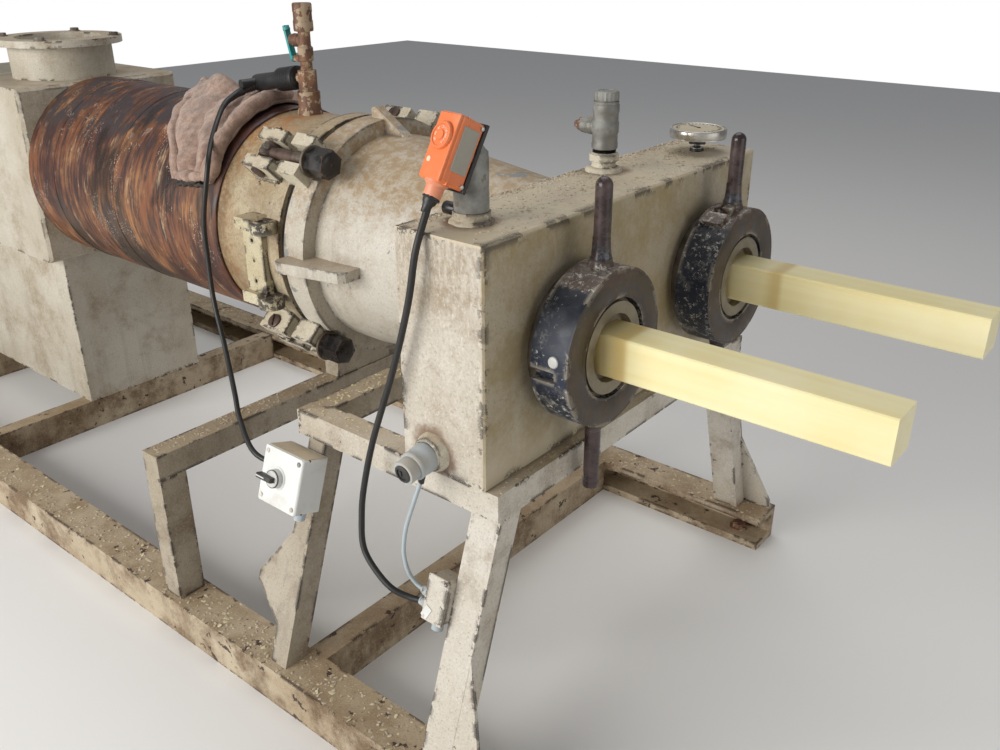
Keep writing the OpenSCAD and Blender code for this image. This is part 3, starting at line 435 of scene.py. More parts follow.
# %% The paints
cream = painted("cream_paint", (0.60, 0.555, 0.48), (0.45, 0.39, 0.30), (0.25, 0.17, 0.09),
                (0.05, 0.038, 0.03), (26.0, 1.15, 0.30), (0.46, 0.78, 0.60), 0.15, reach=0.030,
                extra=box_dirt_and_bounce_light)
lug_coat = painted("lug_paint", (0.62, 0.58, 0.47), (0.52, 0.46, 0.34), (0.24, 0.16, 0.08),
                   (0.035, 0.028, 0.024), (34.0, 1.45, 0.60), (0.46, 0.75, 0.6), 0.2)
hinge_coat = painted("hinge_paint", (0.58, 0.53, 0.38), (0.44, 0.37, 0.22), (0.20, 0.13, 0.06),
                     (0.035, 0.028, 0.024), (34.0, 1.2, 0.60), (0.46, 0.75, 0.6), 0.2, extra=knuckle_darkening)
shell_coat = painted("shell_paint", (0.55, 0.51, 0.43), (0.43, 0.38, 0.29), (0.24, 0.17, 0.09),
                     (0.06, 0.045, 0.035), (26.0, 1.0, 0.15), (0.44, 0.74, 0.75), 0.25)
# A darker copy of the frame paint for the rear legs, rear bar and support: painted shade, as these parts
# sit farther back and lower.
shaded_rear_coat = painted("shaded_rear_paint", (0.42, 0.37, 0.29), (0.31, 0.26, 0.185), (0.15, 0.10, 0.055),
                    (0.045, 0.035, 0.028), (34.0, 1.2, 0.45), (0.45, 0.72, 0.8), 0.3)
head_coat = painted("head_paint", (0.55, 0.515, 0.45), (0.46, 0.415, 0.33), (0.28, 0.20, 0.115),
                    (0.17, 0.155, 0.14), (20.0, 0.9, 0.30), (0.46, 0.78, 0.7), 0.35, extra=head_dirt)
stained = painted("stained_cream", (0.49, 0.43, 0.315), (0.38, 0.30, 0.18), (0.20, 0.12, 0.055),
                  (0.045, 0.033, 0.027), (26.0, 1.2, 0.50), (0.42, 0.7, 0.75), 0.25, extra=neck_dirt)
frame_coat = painted("frame_paint", (0.60, 0.56, 0.49), (0.49, 0.43, 0.335), (0.22, 0.15, 0.08),
                     (0.045, 0.035, 0.028), (34.0, 1.25, 0.45), (0.47, 0.75, 0.70), 0.2)
rail_coat = painted("rail_paint", (0.50, 0.42, 0.30), (0.36, 0.27, 0.17), (0.15, 0.09, 0.045),
                    (0.07, 0.045, 0.03), (30.0, 1.1, 0.75), (0.42, 0.65, 0.9), 0.3, 0.65)
green_coat = painted("green_paint", (0.16, 0.22, 0.20), (0.12, 0.16, 0.15), (0.06, 0.055, 0.045),
                     (0.05, 0.04, 0.035), (30.0, 1.0, 0.1), (0.5, 0.8, 0.5), 0.3)
print("painted coats", list(made))

# %% [markdown]
# The jacket of the barrel is mostly rust: dark brown runs over orange, the old cream paint
# left in patches, black wet places that shine, and white flecks.

# %% Rusty jacket
def make_jacket():
    m, t, b, where = coat("rusty_jacket")
    run = noise(t, where, 88.0, 9.0, 0.74, (1, 0.10, 0.10))
    broad = noise(t, where, 9.0, 6.0, 0.66, (1, 0.5, 0.5))
    run = plus(t, times(t, run, 0.55), times(t, broad, 0.45))
    blot = noise(t, where, 5.0, 8.0, 0.66)
    c = blend(t, ramp(t, run, 0.44, 0.60), (0.040, 0.014, 0.011), (0.215, 0.078, 0.028))
    c = blend(t, times(t, ramp(t, blot, 0.50, 0.62), ramp(t, run, 0.44, 0.62, 0.1, 0.8)), c,
              (0.38, 0.19, 0.075))
    pale = noise(t, where, 40.0, 10.0, 0.76, (1, 0.20, 0.20))
    c = blend(t, ramp(t, pale, 0.56, 0.66, 0.0, 0.70), c, (0.50, 0.37, 0.22))
    x, _, z = axes(t, where)
    smear = noise(t, where, 16.0, 9.0, 0.72, (1, 0.6, 0.6))
    upper = ramp(t, plus(t, z, times(t, blot, 0.16)), 0.965, 1.045)
    c = blend(t, times(t, upper, ramp(t, smear, 0.56, 0.44)), c, (0.045, 0.032, 0.032))
    c = blend(t, times(t, upper, ramp(t, smear, 0.60, 0.68, 0.0, 0.7)), c, (0.46, 0.42, 0.37))
    hem = ramp(t, plus(t, x, times(t, blot, 0.05)), -0.565, -0.525, 0.0, 0.45)
    c = blend(t, hem, c, (0.055, 0.016, 0.013))
    wet = noise(t, where, 6.0, 4.0, 0.6, (1, 0.35, 0.35))
    wet_mask = ramp(t, wet, 0.54, 0.62)
    c = blend(t, times(t, wet_mask, 0.85), c, (0.020, 0.012, 0.009))
    c = blend(t, use(t, specks, where, Scale=240.0, Size=0.22, Cover=0.42), c, (0.58, 0.50, 0.42))
    r = minus(t, ramp(t, blot, 0.3, 0.7, 0.38, 0.62), times(t, wet_mask, 0.22))
    finish_coat(t, b, c, r, plus(t, blot, pale), 0.5, 0.003)
    return m


jacket_coat = make_jacket()
print("coat", jacket_coat.name)

# %% [markdown]
# The ring nuts are black on the rim with white specks, and rubbed brown on the front.
# The mask is the way the surface faces in Object space, so it turns with the nut.

# %% Ring nut paint
def make_ring_coat():
    m, t, b, where = coat("black_paint", 0.0, 0.42)
    facing = axes(t, t.nodes.new("ShaderNodeTexCoord").outputs["Normal"])[0]
    front = ramp(t, facing, 0.75, 0.98)
    worn = noise(t, where, 26.0, 8.0, 0.65)
    _, y, z = axes(t, where)
    rod = ramp(t, z, 0.912, 0.928)
    low_rod = ramp(t, z, 0.646, 0.636)
    rod = most(t, rod, low_rod)
    brown = blend(t, ramp(t, worn, 0.35, 0.7), (0.036, 0.025, 0.016), (0.095, 0.067, 0.043))
    black = blend(t, ramp(t, worn, 0.4, 0.7), (0.008, 0.011, 0.019), (0.030, 0.037, 0.052))
    bare = blend(t, ramp(t, worn, 0.4, 0.7), (0.030, 0.018, 0.018), (0.085, 0.056, 0.052))
    weld = times(t, ramp(t, z, 0.955, 0.925), ramp(t, noise(t, where, 150.0, 6.0, 0.7), 0.45, 0.58))
    weld = times(t, weld, ramp(t, z, 0.80, 0.85))
    bare = blend(t, weld, bare, (0.085, 0.095, 0.115))
    c = blend(t, rod, blend(t, front, black, brown), bare)
    sag = times(t, noise(t, where, 28.0, 6.0, 0.7), 0.030)
    crown = times(t, ramp(t, plus(t, z, sag), 0.902, 0.908), ramp(t, rod, 0.9, 0.1))
    c = blend(t, crown, c, (0.080, 0.050, 0.036))
    navy = times(t, ramp(t, z, 0.69, 0.77), ramp(t, z, 0.87, 0.80))
    navy = times(t, navy, ramp(t, most(t, front, rod), 0.6, 0.1, 0.0, 0.75))
    c = blend(t, navy, c, (0.011, 0.018, 0.040))
    chip = use(t, wear, where, Scale=34.0, Edge=1.0, Patch=0.35)
    c = blend(t, times(t, chip, 0.75), c, (0.33, 0.29, 0.23))
    quiet = minus(t, 1.0, most(t, rod, times(t, front, 0.90)))
    lower = ramp(t, z, 0.775, 0.700)
    farther = ramp(t, y, 0.05, 0.12, 0.0, 0.85)
    patchy = ramp(t, noise(t, where, 10.0, 4.0, 0.65), 0.50, 0.60, 0.0, 0.8)
    spread = most(t, most(t, lower, farther), most(t, patchy, crown))
    spread = times(t, spread, quiet)
    level = minus(t, 0.622, times(t, spread, 0.062))
    fleck = above(t, noise(t, where, 95.0, 10.0, 0.82), level)
    fleck = times(t, fleck, ramp(t, quiet, 0.05, 0.6, 0.10, 0.85))
    c = blend(t, fleck, c, (0.55, 0.53, 0.47))
    powder = ramp(t, noise(t, where, 30.0, 10.0, 0.80), 0.50, 0.60, 0.0, 0.55)
    c = blend(t, times(t, powder, spread), c, (0.27, 0.265, 0.24))
    r = minus(t, ramp(t, worn, 0.3, 0.7, 0.34, 0.62), times(t, rod, 0.20))
    finish_coat(t, b, c, r, worn, 0.35, 0.0015)
    return m


ring_coat = make_ring_coat()
print("coat", ring_coat.name)

# %% [markdown]
# The bars are a waxy pale yellow: a little light goes in, and the first part out of the die
# carries two soft brown bands and a shade at the throat. Fine lines run along the bar.

# %% Pressed bar
def make_bar():
    m, t, b, where = coat("pale_bar", 0.0, 0.34)
    x, y, _ = axes(t, where)
    lines = noise(t, where, 60.0, 3.0, 0.5, (0.03, 1, 1))
    cloud = noise(t, where, 9.0, 3.0, 0.5)
    c = blend(t, ramp(t, lines, 0.3, 0.7), (0.84, 0.73, 0.37), (0.88, 0.79, 0.45))
    c = blend(t, ramp(t, cloud, 0.35, 0.7, 0.0, 0.5), c, (0.92, 0.86, 0.58))
    away = ramp(t, y, -0.01, 0.01, 0.0, 0.052)
    shifted = minus(t, x, away)
    one = times(t, ramp(t, shifted, 0.476, 0.502), ramp(t, shifted, 0.520, 0.506))
    two = ramp(t, x, 0.470, 0.456)
    band = times(t, most(t, one, two), 0.62)
    c = blend(t, band, c, (0.60, 0.41, 0.13))
    throat = times(t, ramp(t, shifted, 0.514, 0.504), ramp(t, y, 0.01, -0.01, 0.15, 0.55))
    c = blend(t, throat, c, (0.62, 0.46, 0.17))
    b.inputs["Subsurface Weight"].default_value = 0.22
    b.inputs["Subsurface Radius"].default_value = (0.020, 0.014, 0.006)
    b.inputs["Subsurface Scale"].default_value = 0.5
    b.inputs["Coat Weight"].default_value = 0.08
    finish_coat(t, b, c, None, lines, 0.06, 0.0006)
    return m


bar_mat = make_bar()
print("coat", bar_mat.name)

# %% [markdown]
# Bare metals share one builder: a light and a dark tone in clouds, dirty patches that shine
# less, and pale specks on some.

# %% Bare metals
def metal(name, light, dark, dirt, metallic=0.75, rough=0.42, speck=0.0, patch=0.3):
    m, t, b, where = coat(name, metallic, rough)
    n = noise(t, where, 24.0, 8.0, 0.64)
    c = blend(t, ramp(t, n, 0.35, 0.68), dark, light)
    chip = use(t, wear, where, Scale=40.0, Edge=0.45, Patch=patch, Reach=0.006)
    c = blend(t, times(t, chip, 0.8), c, dirt)
    if speck:
        c = blend(t, use(t, specks, where, Scale=260.0, Size=0.3, Cover=speck), c, (0.6, 0.56, 0.48))
    r = ramp(t, n, 0.3, 0.7, rough - 0.12, rough + 0.22)
    wire(t, ramp(t, chip, 0.2, 0.9, metallic, metallic * 0.3), b.inputs["Metallic"])
    finish_coat(t, b, c, r, n, 0.3, 0.001)
    return m


galvanised = metal("galvanised", (0.36, 0.365, 0.345), (0.18, 0.175, 0.155), (0.20, 0.16, 0.11), 0.40,
                   0.60, 0.30, 0.7)
worn_steel = metal("worn_steel", (0.25, 0.21, 0.17), (0.12, 0.095, 0.07), (0.06, 0.04, 0.03), 0.6, 0.5)
plate_mat = metal("grey_plate", (0.33, 0.29, 0.21), (0.20, 0.17, 0.12), (0.10, 0.075, 0.05), 0.45, 0.48)
dark_steel = metal("dark_steel", (0.040, 0.036, 0.034), (0.016, 0.014, 0.014), (0.060, 0.048, 0.038),
                   0.45, 0.24, 0.05)
shank_steel = metal("shank_steel", (0.13, 0.085, 0.065), (0.055, 0.035, 0.028), (0.20, 0.14, 0.09), 0.4,
                    0.45)
rusty_steel = metal("rusty_steel", (0.26, 0.135, 0.075), (0.11, 0.055, 0.035), (0.42, 0.32, 0.21), 0.2,
                    0.6, 0.32, 1.2)
zinc = metal("zinc", (0.60, 0.60, 0.57), (0.46, 0.46, 0.43), (0.30, 0.27, 0.22), 0.3, 0.5)
bezel = metal("bezel_steel", (0.62, 0.60, 0.56), (0.42, 0.40, 0.36), (0.20, 0.15, 0.10), 0.9, 0.3)
bolt_mat = metal("bolt_steel", (0.30, 0.27, 0.23), (0.12, 0.10, 0.08), (0.10, 0.06, 0.04), 0.6, 0.5)
print("metals made, coats so far", len(made))

# %% [markdown]
# Plastics, rubber and card need little more than a colour, a second tone and some dust.

# %% Plastics
def plastic(name, colour, dust, rough=0.45, amount=0.25, fine=90.0, bump=0.1):
    m, t, b, where = coat(name, 0.0, rough)
    n = noise(t, where, fine, 4.0, 0.6)
    w = noise(t, where, 12.0, 6.0, 0.65)
    c = blend(t, ramp(t, w, 0.45, 0.75, 0.0, amount), colour, dust)
    finish_coat(t, b, c, ramp(t, w, 0.3, 0.7, rough - 0.08, rough + 0.18), n, bump, 0.0004)
    return m


orange = plastic("orange_case", (0.78, 0.20, 0.065), (0.82, 0.38, 0.22), 0.38, 0.6)
dial_ink = plastic("dial_ink", (0.92, 0.62, 0.46), (0.86, 0.50, 0.36), 0.5, 0.3)
grey_tag = plastic("grey_tag", (0.36, 0.34, 0.28), (0.26, 0.24, 0.19), 0.4, 0.6)
black_plastic = plastic("black_plastic", (0.020, 0.020, 0.021), (0.10, 0.09, 0.075), 0.4, 0.4)
white_case = plastic("white_case", (0.72, 0.73, 0.71), (0.50, 0.46, 0.38), 0.42, 0.7)
teal = plastic("teal_paint", (0.02, 0.30, 0.30), (0.15, 0.30, 0.27), 0.4, 0.5)
black_cable = plastic("black_cable", (0.012, 0.012, 0.012), (0.060, 0.053, 0.045), 0.42, 0.35, 140.0,
                      0.15)
pale_cable = plastic("pale_cable", (0.40, 0.46, 0.49), (0.26, 0.24, 0.20), 0.42, 0.5)
bell_mat = plastic("dusty_bell", (0.40, 0.44, 0.455), (0.46, 0.37, 0.26), 0.55, 0.8, 60.0, 0.4)
seal_mat = plastic("dark_seal", (0.022, 0.018, 0.016), (0.16, 0.12, 0.08), 0.7, 0.6)
dial_face = plastic("dial_face", (0.62, 0.54, 0.38), (0.46, 0.38, 0.25), 0.3, 0.7)
pink_gland = plastic("pink_gland", (0.72, 0.27, 0.15), (0.70, 0.40, 0.28), 0.45, 0.5)
crumb_mat = plastic("crumbs", (0.52, 0.44, 0.32), (0.24, 0.165, 0.10), 0.7, 0.9)
flake_mat = plastic("flakes", (0.62, 0.55, 0.35), (0.34, 0.22, 0.12), 0.7, 0.9)
print("plastics made, coats so far", len(made))

# %% [markdown]
# Every CAD node gets its coat here, and a small bevel on its sharp edges where there is room for one.

# %% Coats on the CAD nodes
rag_base = plastic("rag_base", (0.30, 0.19, 0.15), (0.42, 0.30, 0.24), 0.9, 0.8)
coats = [
    (cream, ["die_box"]),
    (shell_coat, ["feed_chamber", "feed_inlet", "feed_pedestal"]),
    (lug_coat, ["head_lugs", "barrel_lugs"]),
    (hinge_coat, ["hinge_bracket"]),
    (shaded_rear_coat, ["leg_rear_near", "leg_rear_far", "frame_rear_bar", "support_beam", "support_post_near",
                 "support_post_far"]),
    (head_coat, ["head_cone", "head_ribs", "head_flange"]),
    (stained, ["barrel_flange"]),
    (frame_coat, ["frame_near", "frame_far", "frame_front_bar", "leg_front_near", "leg_front_far",
                  "junction_box"]),
    (rail_coat, ["base_rail_near", "base_rail_far", "stretcher_front", "stretcher_mid",
                 "stretcher_rear"]),
    (green_coat, ["gearbox", "motor"]),
    (jacket_coat, ["barrel_jacket"]),
    (seal_mat, ["seal_ring"]),
    (ring_coat, ["ring_nut_near", "ring_nut_far"]),
    (bar_mat, ["bar_near", "bar_far"]),
    (worn_steel, ["die_neck_near", "die_neck_far"]),
    (plate_mat, ["die_plate_near", "die_plate_far"]),
    (shank_steel, ["swing_bolt_1", "swing_bolt_2", "swing_bolt_3", "swing_bolt_4"]),
    (rusty_steel, ["clevis_pins", "barrel_valve"]),
    (galvanised, ["thermostat_pocket", "vent_fitting", "heater_fitting"]),
    (bezel, ["thermometer"]),
    (orange, ["thermostat_case", "thermostat_dial"]),
    (teal, ["valve_lever"]),
    (black_plastic, ["probe_head", "selector_knob"]),
    (white_case, ["selector_box"]),
    (black_cable, ["thermostat_cable", "probe_cable"]),
    (pale_cable, ["heater_cable"]),
    (rag_base, ["insulation_wrap"]),
]
bevels = {"die_box": 0.003, "ring_nut_near": 0.004, "ring_nut_far": 0.004, "head_lugs": 0.004,
          "barrel_lugs": 0.005, "head_flange": 0.003, "barrel_flange": 0.004, "head_ribs": 0.005,
          "hinge_bracket": 0.004, "bar_near": 0.0015, "bar_far": 0.0015, "support_beam": 0.003,
          "frame_near": 0.003, "frame_far": 0.003, "frame_front_bar": 0.003, "frame_rear_bar": 0.003,
          "leg_front_near": 0.003, "leg_front_far": 0.003, "leg_rear_near": 0.003, "leg_rear_far": 0.003,
          "base_rail_near": 0.003, "base_rail_far": 0.003, "stretcher_front": 0.003, "selector_box": 0.002,
          "junction_box": 0.002, "valve_lever": 0.001, "selector_knob": 0.0015, "probe_head": 0.003,
          "thermometer": 0.002, "vent_fitting": 0.0015, "thermostat_pocket": 0.0015,
          "barrel_valve": 0.0015, "thermostat_case": 0.002, "feed_chamber": 0.004, "gearbox": 0.006}
for finish, names in coats:
    for n in names:
        o = nodes[n]
        o.data.materials.clear()
        o.data.materials.append(finish)
for n, w in bevels.items():
    mod = nodes[n].modifiers.new("soft_edges", "BEVEL")
    mod.width = w
    mod.segments = 2
    mod.limit_method = "ANGLE"
    mod.angle_limit = math.radians(50)
    mod.harden_normals = False
bare = [n for n in nodes if not nodes[n].data.materials]
print("coated", len(nodes) - len(bare), "left", bare)

# %% [markdown]
# The three cords follow the routes of the CAD cords, in metres, and are made as real curves.
# A smooth spline runs through the points, and its length is measured along the line.

# %% Cord builder
def smooth_path(points, steps=8):
    out = []
    m = len(points)
    for i in range(m - 1):
        a, b = Vector(points[max(i - 1, 0)]), Vector(points[i])
        c, d = Vector(points[i + 1]), Vector(points[min(i + 2, m - 1)])
        for j in range(steps):
            t = j / steps
            out.append(0.5 * (2 * b + (c - a) * t + (2 * a - 5 * b + 4 * c - d) * t * t
                              + (3 * b - a - 3 * c + d) * t ** 3))
    out.append(Vector(points[-1]))
    return out


def curve_tube(name, path, radius, mat, sides=6, widths=None):
    c = bpy.data.curves.new(name, "CURVE")
    c.dimensions = "3D"
    c.bevel_depth = radius
    c.bevel_resolution = sides
    c.use_fill_caps = True
    s = c.splines.new("POLY")
    s.points.add(len(path) - 1)
    for i, p in enumerate(path):
        s.points[i].co = (*p, 1)
        s.points[i].radius = widths[i] if widths else 1.0
    c.materials.append(mat)
    o = bpy.data.objects.new(name, c)
    bpy.context.collection.objects.link(o)
    return o


def path_length(path):
    return sum((b - a).length for a, b in zip(path, path[1:]))


print("cord builder ready")

# %% [markdown]
# Each route is drawn point by point from the photo, from the exit on its fitting to the far box.

# %% The three cords
routes = {
    "thermostat_cable": [(0.269, -0.415, 1.025), (0.268, -0.431, 0.993), (0.266, -0.448, 0.950),
                         (0.252, -0.453, 0.870), (0.214, -0.454, 0.752), (0.166, -0.462, 0.613),
                         (0.146, -0.473, 0.514), (0.148, -0.484, 0.459), (0.160, -0.495, 0.416),
                         (0.188, -0.500, 0.388), (0.228, -0.500, 0.364), (0.260, -0.489, 0.353),
                         (0.284, -0.481, 0.352)],
    "heater_cable": [(0.275, -0.463, 0.588), (0.274, -0.465, 0.572), (0.269, -0.477, 0.538),
                     (0.258, -0.486, 0.490), (0.250, -0.486, 0.440), (0.256, -0.484, 0.402),
                     (0.268, -0.478, 0.379), (0.284, -0.475, 0.371)],
    "probe_cable": [(-0.653, -0.048, 1.053), (-0.655, -0.066, 1.047), (-0.645, -0.104, 1.033),
                    (-0.612, -0.150, 1.010), (-0.560, -0.212, 0.970), (-0.526, -0.250, 0.930),
                    (-0.534, -0.270, 0.823), (-0.532, -0.275, 0.737), (-0.514, -0.286, 0.652),
                    (-0.444, -0.319, 0.563), (-0.364, -0.363, 0.496), (-0.325, -0.385, 0.459),
                    (-0.255, -0.410, 0.418), (-0.190, -0.402, 0.408), (-0.132, -0.384, 0.420),
                    (-0.098, -0.390, 0.437), (-0.085, -0.411, 0.446), (-0.084, -0.433, 0.450)],
}
cord_r = {"thermostat_cable": 0.0055, "heater_cable": 0.00375, "probe_cable": 0.0055}
cord_mat = {"thermostat_cable": black_cable, "heater_cable": pale_cable, "probe_cable": black_cable}
cords = {}
for n, pts in routes.items():
    path = smooth_path(pts)
    o = curve_tube(n + "_line", path, cord_r[n], cord_mat[n])
    cords[n] = (o, path)
    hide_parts(n)
    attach(o, "root")
    print(n, "is", round(path_length(path), 3), "m long")

# %% [markdown]
# The light is soft and studio-like: one wide panel over the near side, as in the photo, a weak
# one in front, a soft one overhead, and a plain pale floor. Rays that the camera sees meet white.

# %% Floor and light
def area_light(name, at, aim, size, power, colour=(1, 1, 1)):
    l = bpy.data.lights.new(name, "AREA")
    l.shape = "RECTANGLE"
    l.size, l.size_y = size
    l.energy = power
    l.color = colour
    o = bpy.data.objects.new(name, l)
    o.location = at
    o.rotation_euler = (Vector(aim) - Vector(at)).to_track_quat("-Z", "Y").to_euler()
    bpy.context.collection.objects.link(o)
    return o


floor_mesh = bpy.data.meshes.new("studio_floor")
floor_mesh.from_pydata([(-9, -9, 0), (9, -9, 0), (9, 9, 0), (-9, 9, 0)], [], [(0, 1, 2, 3)])
floor = bpy.data.objects.new("studio_floor", floor_mesh)
bpy.context.collection.objects.link(floor)
floor_mat = bpy.data.materials.new("studio_floor")
floor_mat.use_nodes = True
floor_mat.node_tree.nodes["Principled BSDF"].inputs["Base Color"].default_value = (0.80, 0.79, 0.77, 1)
floor_mat.node_tree.nodes["Principled BSDF"].inputs["Roughness"].default_value = 0.85
floor_mesh.materials.append(floor_mat)
area_light("near_window", (-1.3, -4.3, 2.0), (0.0, -0.2, 0.7), (3.6, 2.4), 215, (1.0, 0.985, 0.96))
area_light("front_fill", (3.4, 0.2, 1.2), (0.2, 0.0, 0.6), (2.6, 2.0), 20, (1.0, 0.97, 0.93))
area_light("over_head", (-0.8, 1.2, 4.4), (0.0, 0.0, 0.8), (3.4, 3.4), 60, (1.0, 0.98, 0.95))

world = bpy.data.worlds.new("studio")
bpy.context.scene.world = world
world.use_nodes = True
wt = world.node_tree
wt.nodes.clear()
out = wt.nodes.new("ShaderNodeOutputWorld")
mix = wt.nodes.new("ShaderNodeMixShader")
rays = wt.nodes.new("ShaderNodeLightPath")
seen = add(wt, "ShaderNodeBackground", Color=(1, 1, 1, 1), Strength=1.0)
lit = add(wt, "ShaderNodeBackground", Color=(0.72, 0.74, 0.78, 1), Strength=0.34)
wire(wt, rays.outputs["Is Camera Ray"], mix.inputs[0])
wire(wt, lit.outputs[0], mix.inputs[1])
wire(wt, seen.outputs[0], mix.inputs[2])
wire(wt, mix.outputs[0], out.inputs["Surface"])
bpy.context.scene.view_settings.view_transform = "Standard"

# %% [markdown]
# Most small pieces are turned on a lathe or cut from blocks. `lathe` spins a profile of
# (radius, height) points about Z, `block` adds a box, and `hexagon` a chamfered nut or head.

# %% Shape helpers
def T(x, y, z):
    return Matrix.Translation((x, y, z))


def turn(angle, axis):
    return Matrix.Rotation(math.radians(angle), 4, axis)


def pointing(direction):
    return Vector(direction).to_track_quat("Z", "Y").to_matrix().to_4x4()


def lathe(bm, profile, m=Matrix(), n=40, closed=False, wave=None):
    rings = []
    for r, z in profile:
        if r < 1e-6:
            rings.append([bm.verts.new(m @ Vector((0, 0, z)))])
            continue
        ring = []
        for k in range(n):
            a = 2 * math.pi * k / n
            rr = r * (wave(a, z) if wave else 1.0)
            ring.append(bm.verts.new(m @ Vector((rr * math.cos(a), rr * math.sin(a), z))))
        rings.append(ring)
    pairs = list(zip(rings, rings[1:]))
    if closed:
        pairs.append((rings[-1], rings[0]))
    for a, b in pairs:
        for k in range(n):
            j = (k + 1) % n
            if len(a) == 1 and len(b) == 1:
                continue
            if len(a) == 1:
                bm.faces.new((a[0], b[k], b[j]))
            elif len(b) == 1:
                bm.faces.new((a[k], a[j], b[0]))
            else:
                bm.faces.new((a[k], a[j], b[j], b[k]))


def block(bm, size, m=Matrix()):
    bmesh.ops.create_cube(bm, size=1.0, matrix=m @ Matrix.Diagonal((*size, 1.0)))


def hexagon(bm, af, height, m=Matrix(), chamfer=0.12):
    r = af / 2 / math.cos(math.radians(30))
    low = (1 - chamfer) * r
    top = [(0, 0), (low, 0), (r, chamfer * r * 0.5), (r, height - chamfer * r * 0.5), (low, height),
           (0, height)]
    lathe(bm, top, m, 6)


print("shape builders ready")

# %% [markdown]
# `piece` turns a build function into an object of one material and lets it ride on its CAD body.
# `bead` is a weld bead, and `baked` gives the mesh that an object has with its modifiers applied.

# %% Pieces and beads
CENTRE = 0.778  # height of the barrel's axis
BOX_TOP = 0.979  # top of the die box


def piece(name, mat, build, body="root", soft=0.0, smooth=40):
    me = bpy.data.meshes.new(name)
    bm = bmesh.new()
    build(bm)
    bmesh.ops.recalc_face_normals(bm, faces=bm.faces)
    for f in bm.faces:
        f.smooth = smooth > 0
    for e in bm.edges:
        if len(e.link_faces) == 2 and e.calc_face_angle(0) > math.radians(smooth):
            e.smooth = False
    bm.to_mesh(me)
    bm.free()
    me.materials.append(mat)
    o = bpy.data.objects.new(name, me)
    bpy.context.collection.objects.link(o)
    if soft:
        mod = o.modifiers.new("soft_edges", "BEVEL")
        mod.width = soft
        mod.segments = 2
        mod.limit_method = "ANGLE"
        mod.angle_limit = math.radians(40)
    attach(o, body)
    return o


def bead(name, path, radius, mat, body="root", seed=1):
    # A thin tube whose radius wanders from one ripple to the next.
    r = random.Random(seed)
    fine = []
    for a, b in zip(path, path[1:]):
        a, b = Vector(a), Vector(b)
        k = max(2, int((b - a).length / (radius * 0.9)))
        fine += [a.lerp(b, i / k) for i in range(k)]
    fine.append(Vector(path[-1]))
    widths = [0.8 + 0.35 * r.random() for _ in fine]
    o = curve_tube(name, fine, radius, mat, 2, widths)
    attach(o, body)
    return o


def baked(o):
    bpy.context.view_layer.update()
    return bpy.data.meshes.new_from_object(o.evaluated_get(bpy.context.evaluated_depsgraph_get()))


print("helpers ready")

# %% [markdown]
# Each swing bolt has a chamfered hexagon nut with a dimple, a plain washer, and a threaded
# end. They ride on the bolt, so they swing out with it.

# %% Nuts, washers and threads of the swing bolts
BOLT_ANGLES = (45, 135, 225, 315)
BOLT_OUT = 0.276  # from the barrel's axis to a bolt's axis
PIN_X = -0.382
WASHER_X = -0.2534
NUT_X = -0.2472
THREAD_X = -0.300


def bolt_matrix(angle):
    return T(0, 0, CENTRE) @ turn(angle, "X") @ T(0, 0, BOLT_OUT)


for i, angle in enumerate(BOLT_ANGLES, 1):
    m = bolt_matrix(angle)
    along = turn(90, "Y")

    def nut(bm, m=m, along=along):
        at = m @ T(NUT_X, 0, 0) @ along
        hexagon(bm, 0.0508, 0.0505, at, 0.13)
        lathe(bm, [(0.0238, 0.0498), (0.0236, 0.0512), (0.0205, 0.0532), (0.010, 0.0542),
                   (0.0045, 0.0540), (0.0030, 0.0515), (0, 0.0512)], at, 40)

    def washer(bm, m=m, along=along):
        at = m @ T(WASHER_X, 0, 0) @ along
        lathe(bm, [(0.0145, 0), (0.031, 0), (0.0322, 0.0012), (0.0322, 0.0052), (0.031, 0.0064),
                   (0.0145, 0.0064)], at, 40, closed=True)

    def thread(bm, m=m, along=along):
        at = m @ T(THREAD_X, 0, 0) @ along
        pts = [(0.0128, 0.0)]
        for k in range(18):
            pts += [(0.0136, 0.001 + k * 0.0024), (0.0128, 0.0022 + k * 0.0024)]
        lathe(bm, pts, at, 24)

    body = f"swing_bolt_{i}"
    piece(f"nut_{i}", dark_steel, nut, body)
    piece(f"washer_{i}", worn_steel, washer, body)
    piece(f"bolt_thread_{i}", worn_steel, thread, body)

    def pin_heads(bm, m=m):
        for s in (-1, 1):
            at = m @ T(PIN_X, 0, 0) @ turn(90 * s, "X") @ T(0, 0, 0.046)
            lathe(bm, [(0.0088, -0.002), (0.0155, -0.0005), (0.0160, 0.001), (0.0155, 0.0045),
                       (0.012, 0.006), (0, 0.0065)], at, 24)
        lathe(bm, [(0, -0.014), (0.0016, -0.014), (0.0016, 0.014), (0, 0.014)],
              m @ T(PIN_X, 0.0535, 0) @ turn(24, "Y"), 8)

    piece(f"pin_heads_{i}", shank_steel, pin_heads)
print("swing bolts dressed")

# %% [markdown]
# The lugs are welded on, and the pivots carry old grease that has set into pale blobs.

# %% Welds and grease on the lugs
for i, angle in enumerate(BOLT_ANGLES, 1):
    m = bolt_matrix(angle)
    for side in (-1, 1):
        y = side * 0.0465
        path = [m @ Vector((x, y, -0.0281)) for x in (-0.417, -0.380, -0.345)]
        bead(f"lug_weld_{i}_{'ab'[side > 0]}", path, 0.0045, lug_coat, seed=i)

    def blob(bm, m=m, i=i):
        r = random.Random(60 + i)
        for _ in range(5):
            at = m @ T(PIN_X + 0.012 * (r.random() - 0.5), (r.random() - 0.5) * 0.016,
                       0.014 + 0.004 * r.random())
            bmesh.ops.create_icosphere(bm, subdivisions=2, radius=0.007 + 0.004 * r.random(),
                                       matrix=at @ Matrix.Diagonal((1.2, 1, 0.7, 1)))

    piece(f"grease_{i}", cream, blob, f"swing_bolt_{i}")
print("lug welds and grease made")

# %% [markdown]
# The ring nuts: a swollen weld at the foot of each rod, a bright screw beside the notch of the
# near one, and a small stop block by the rod of the far one.

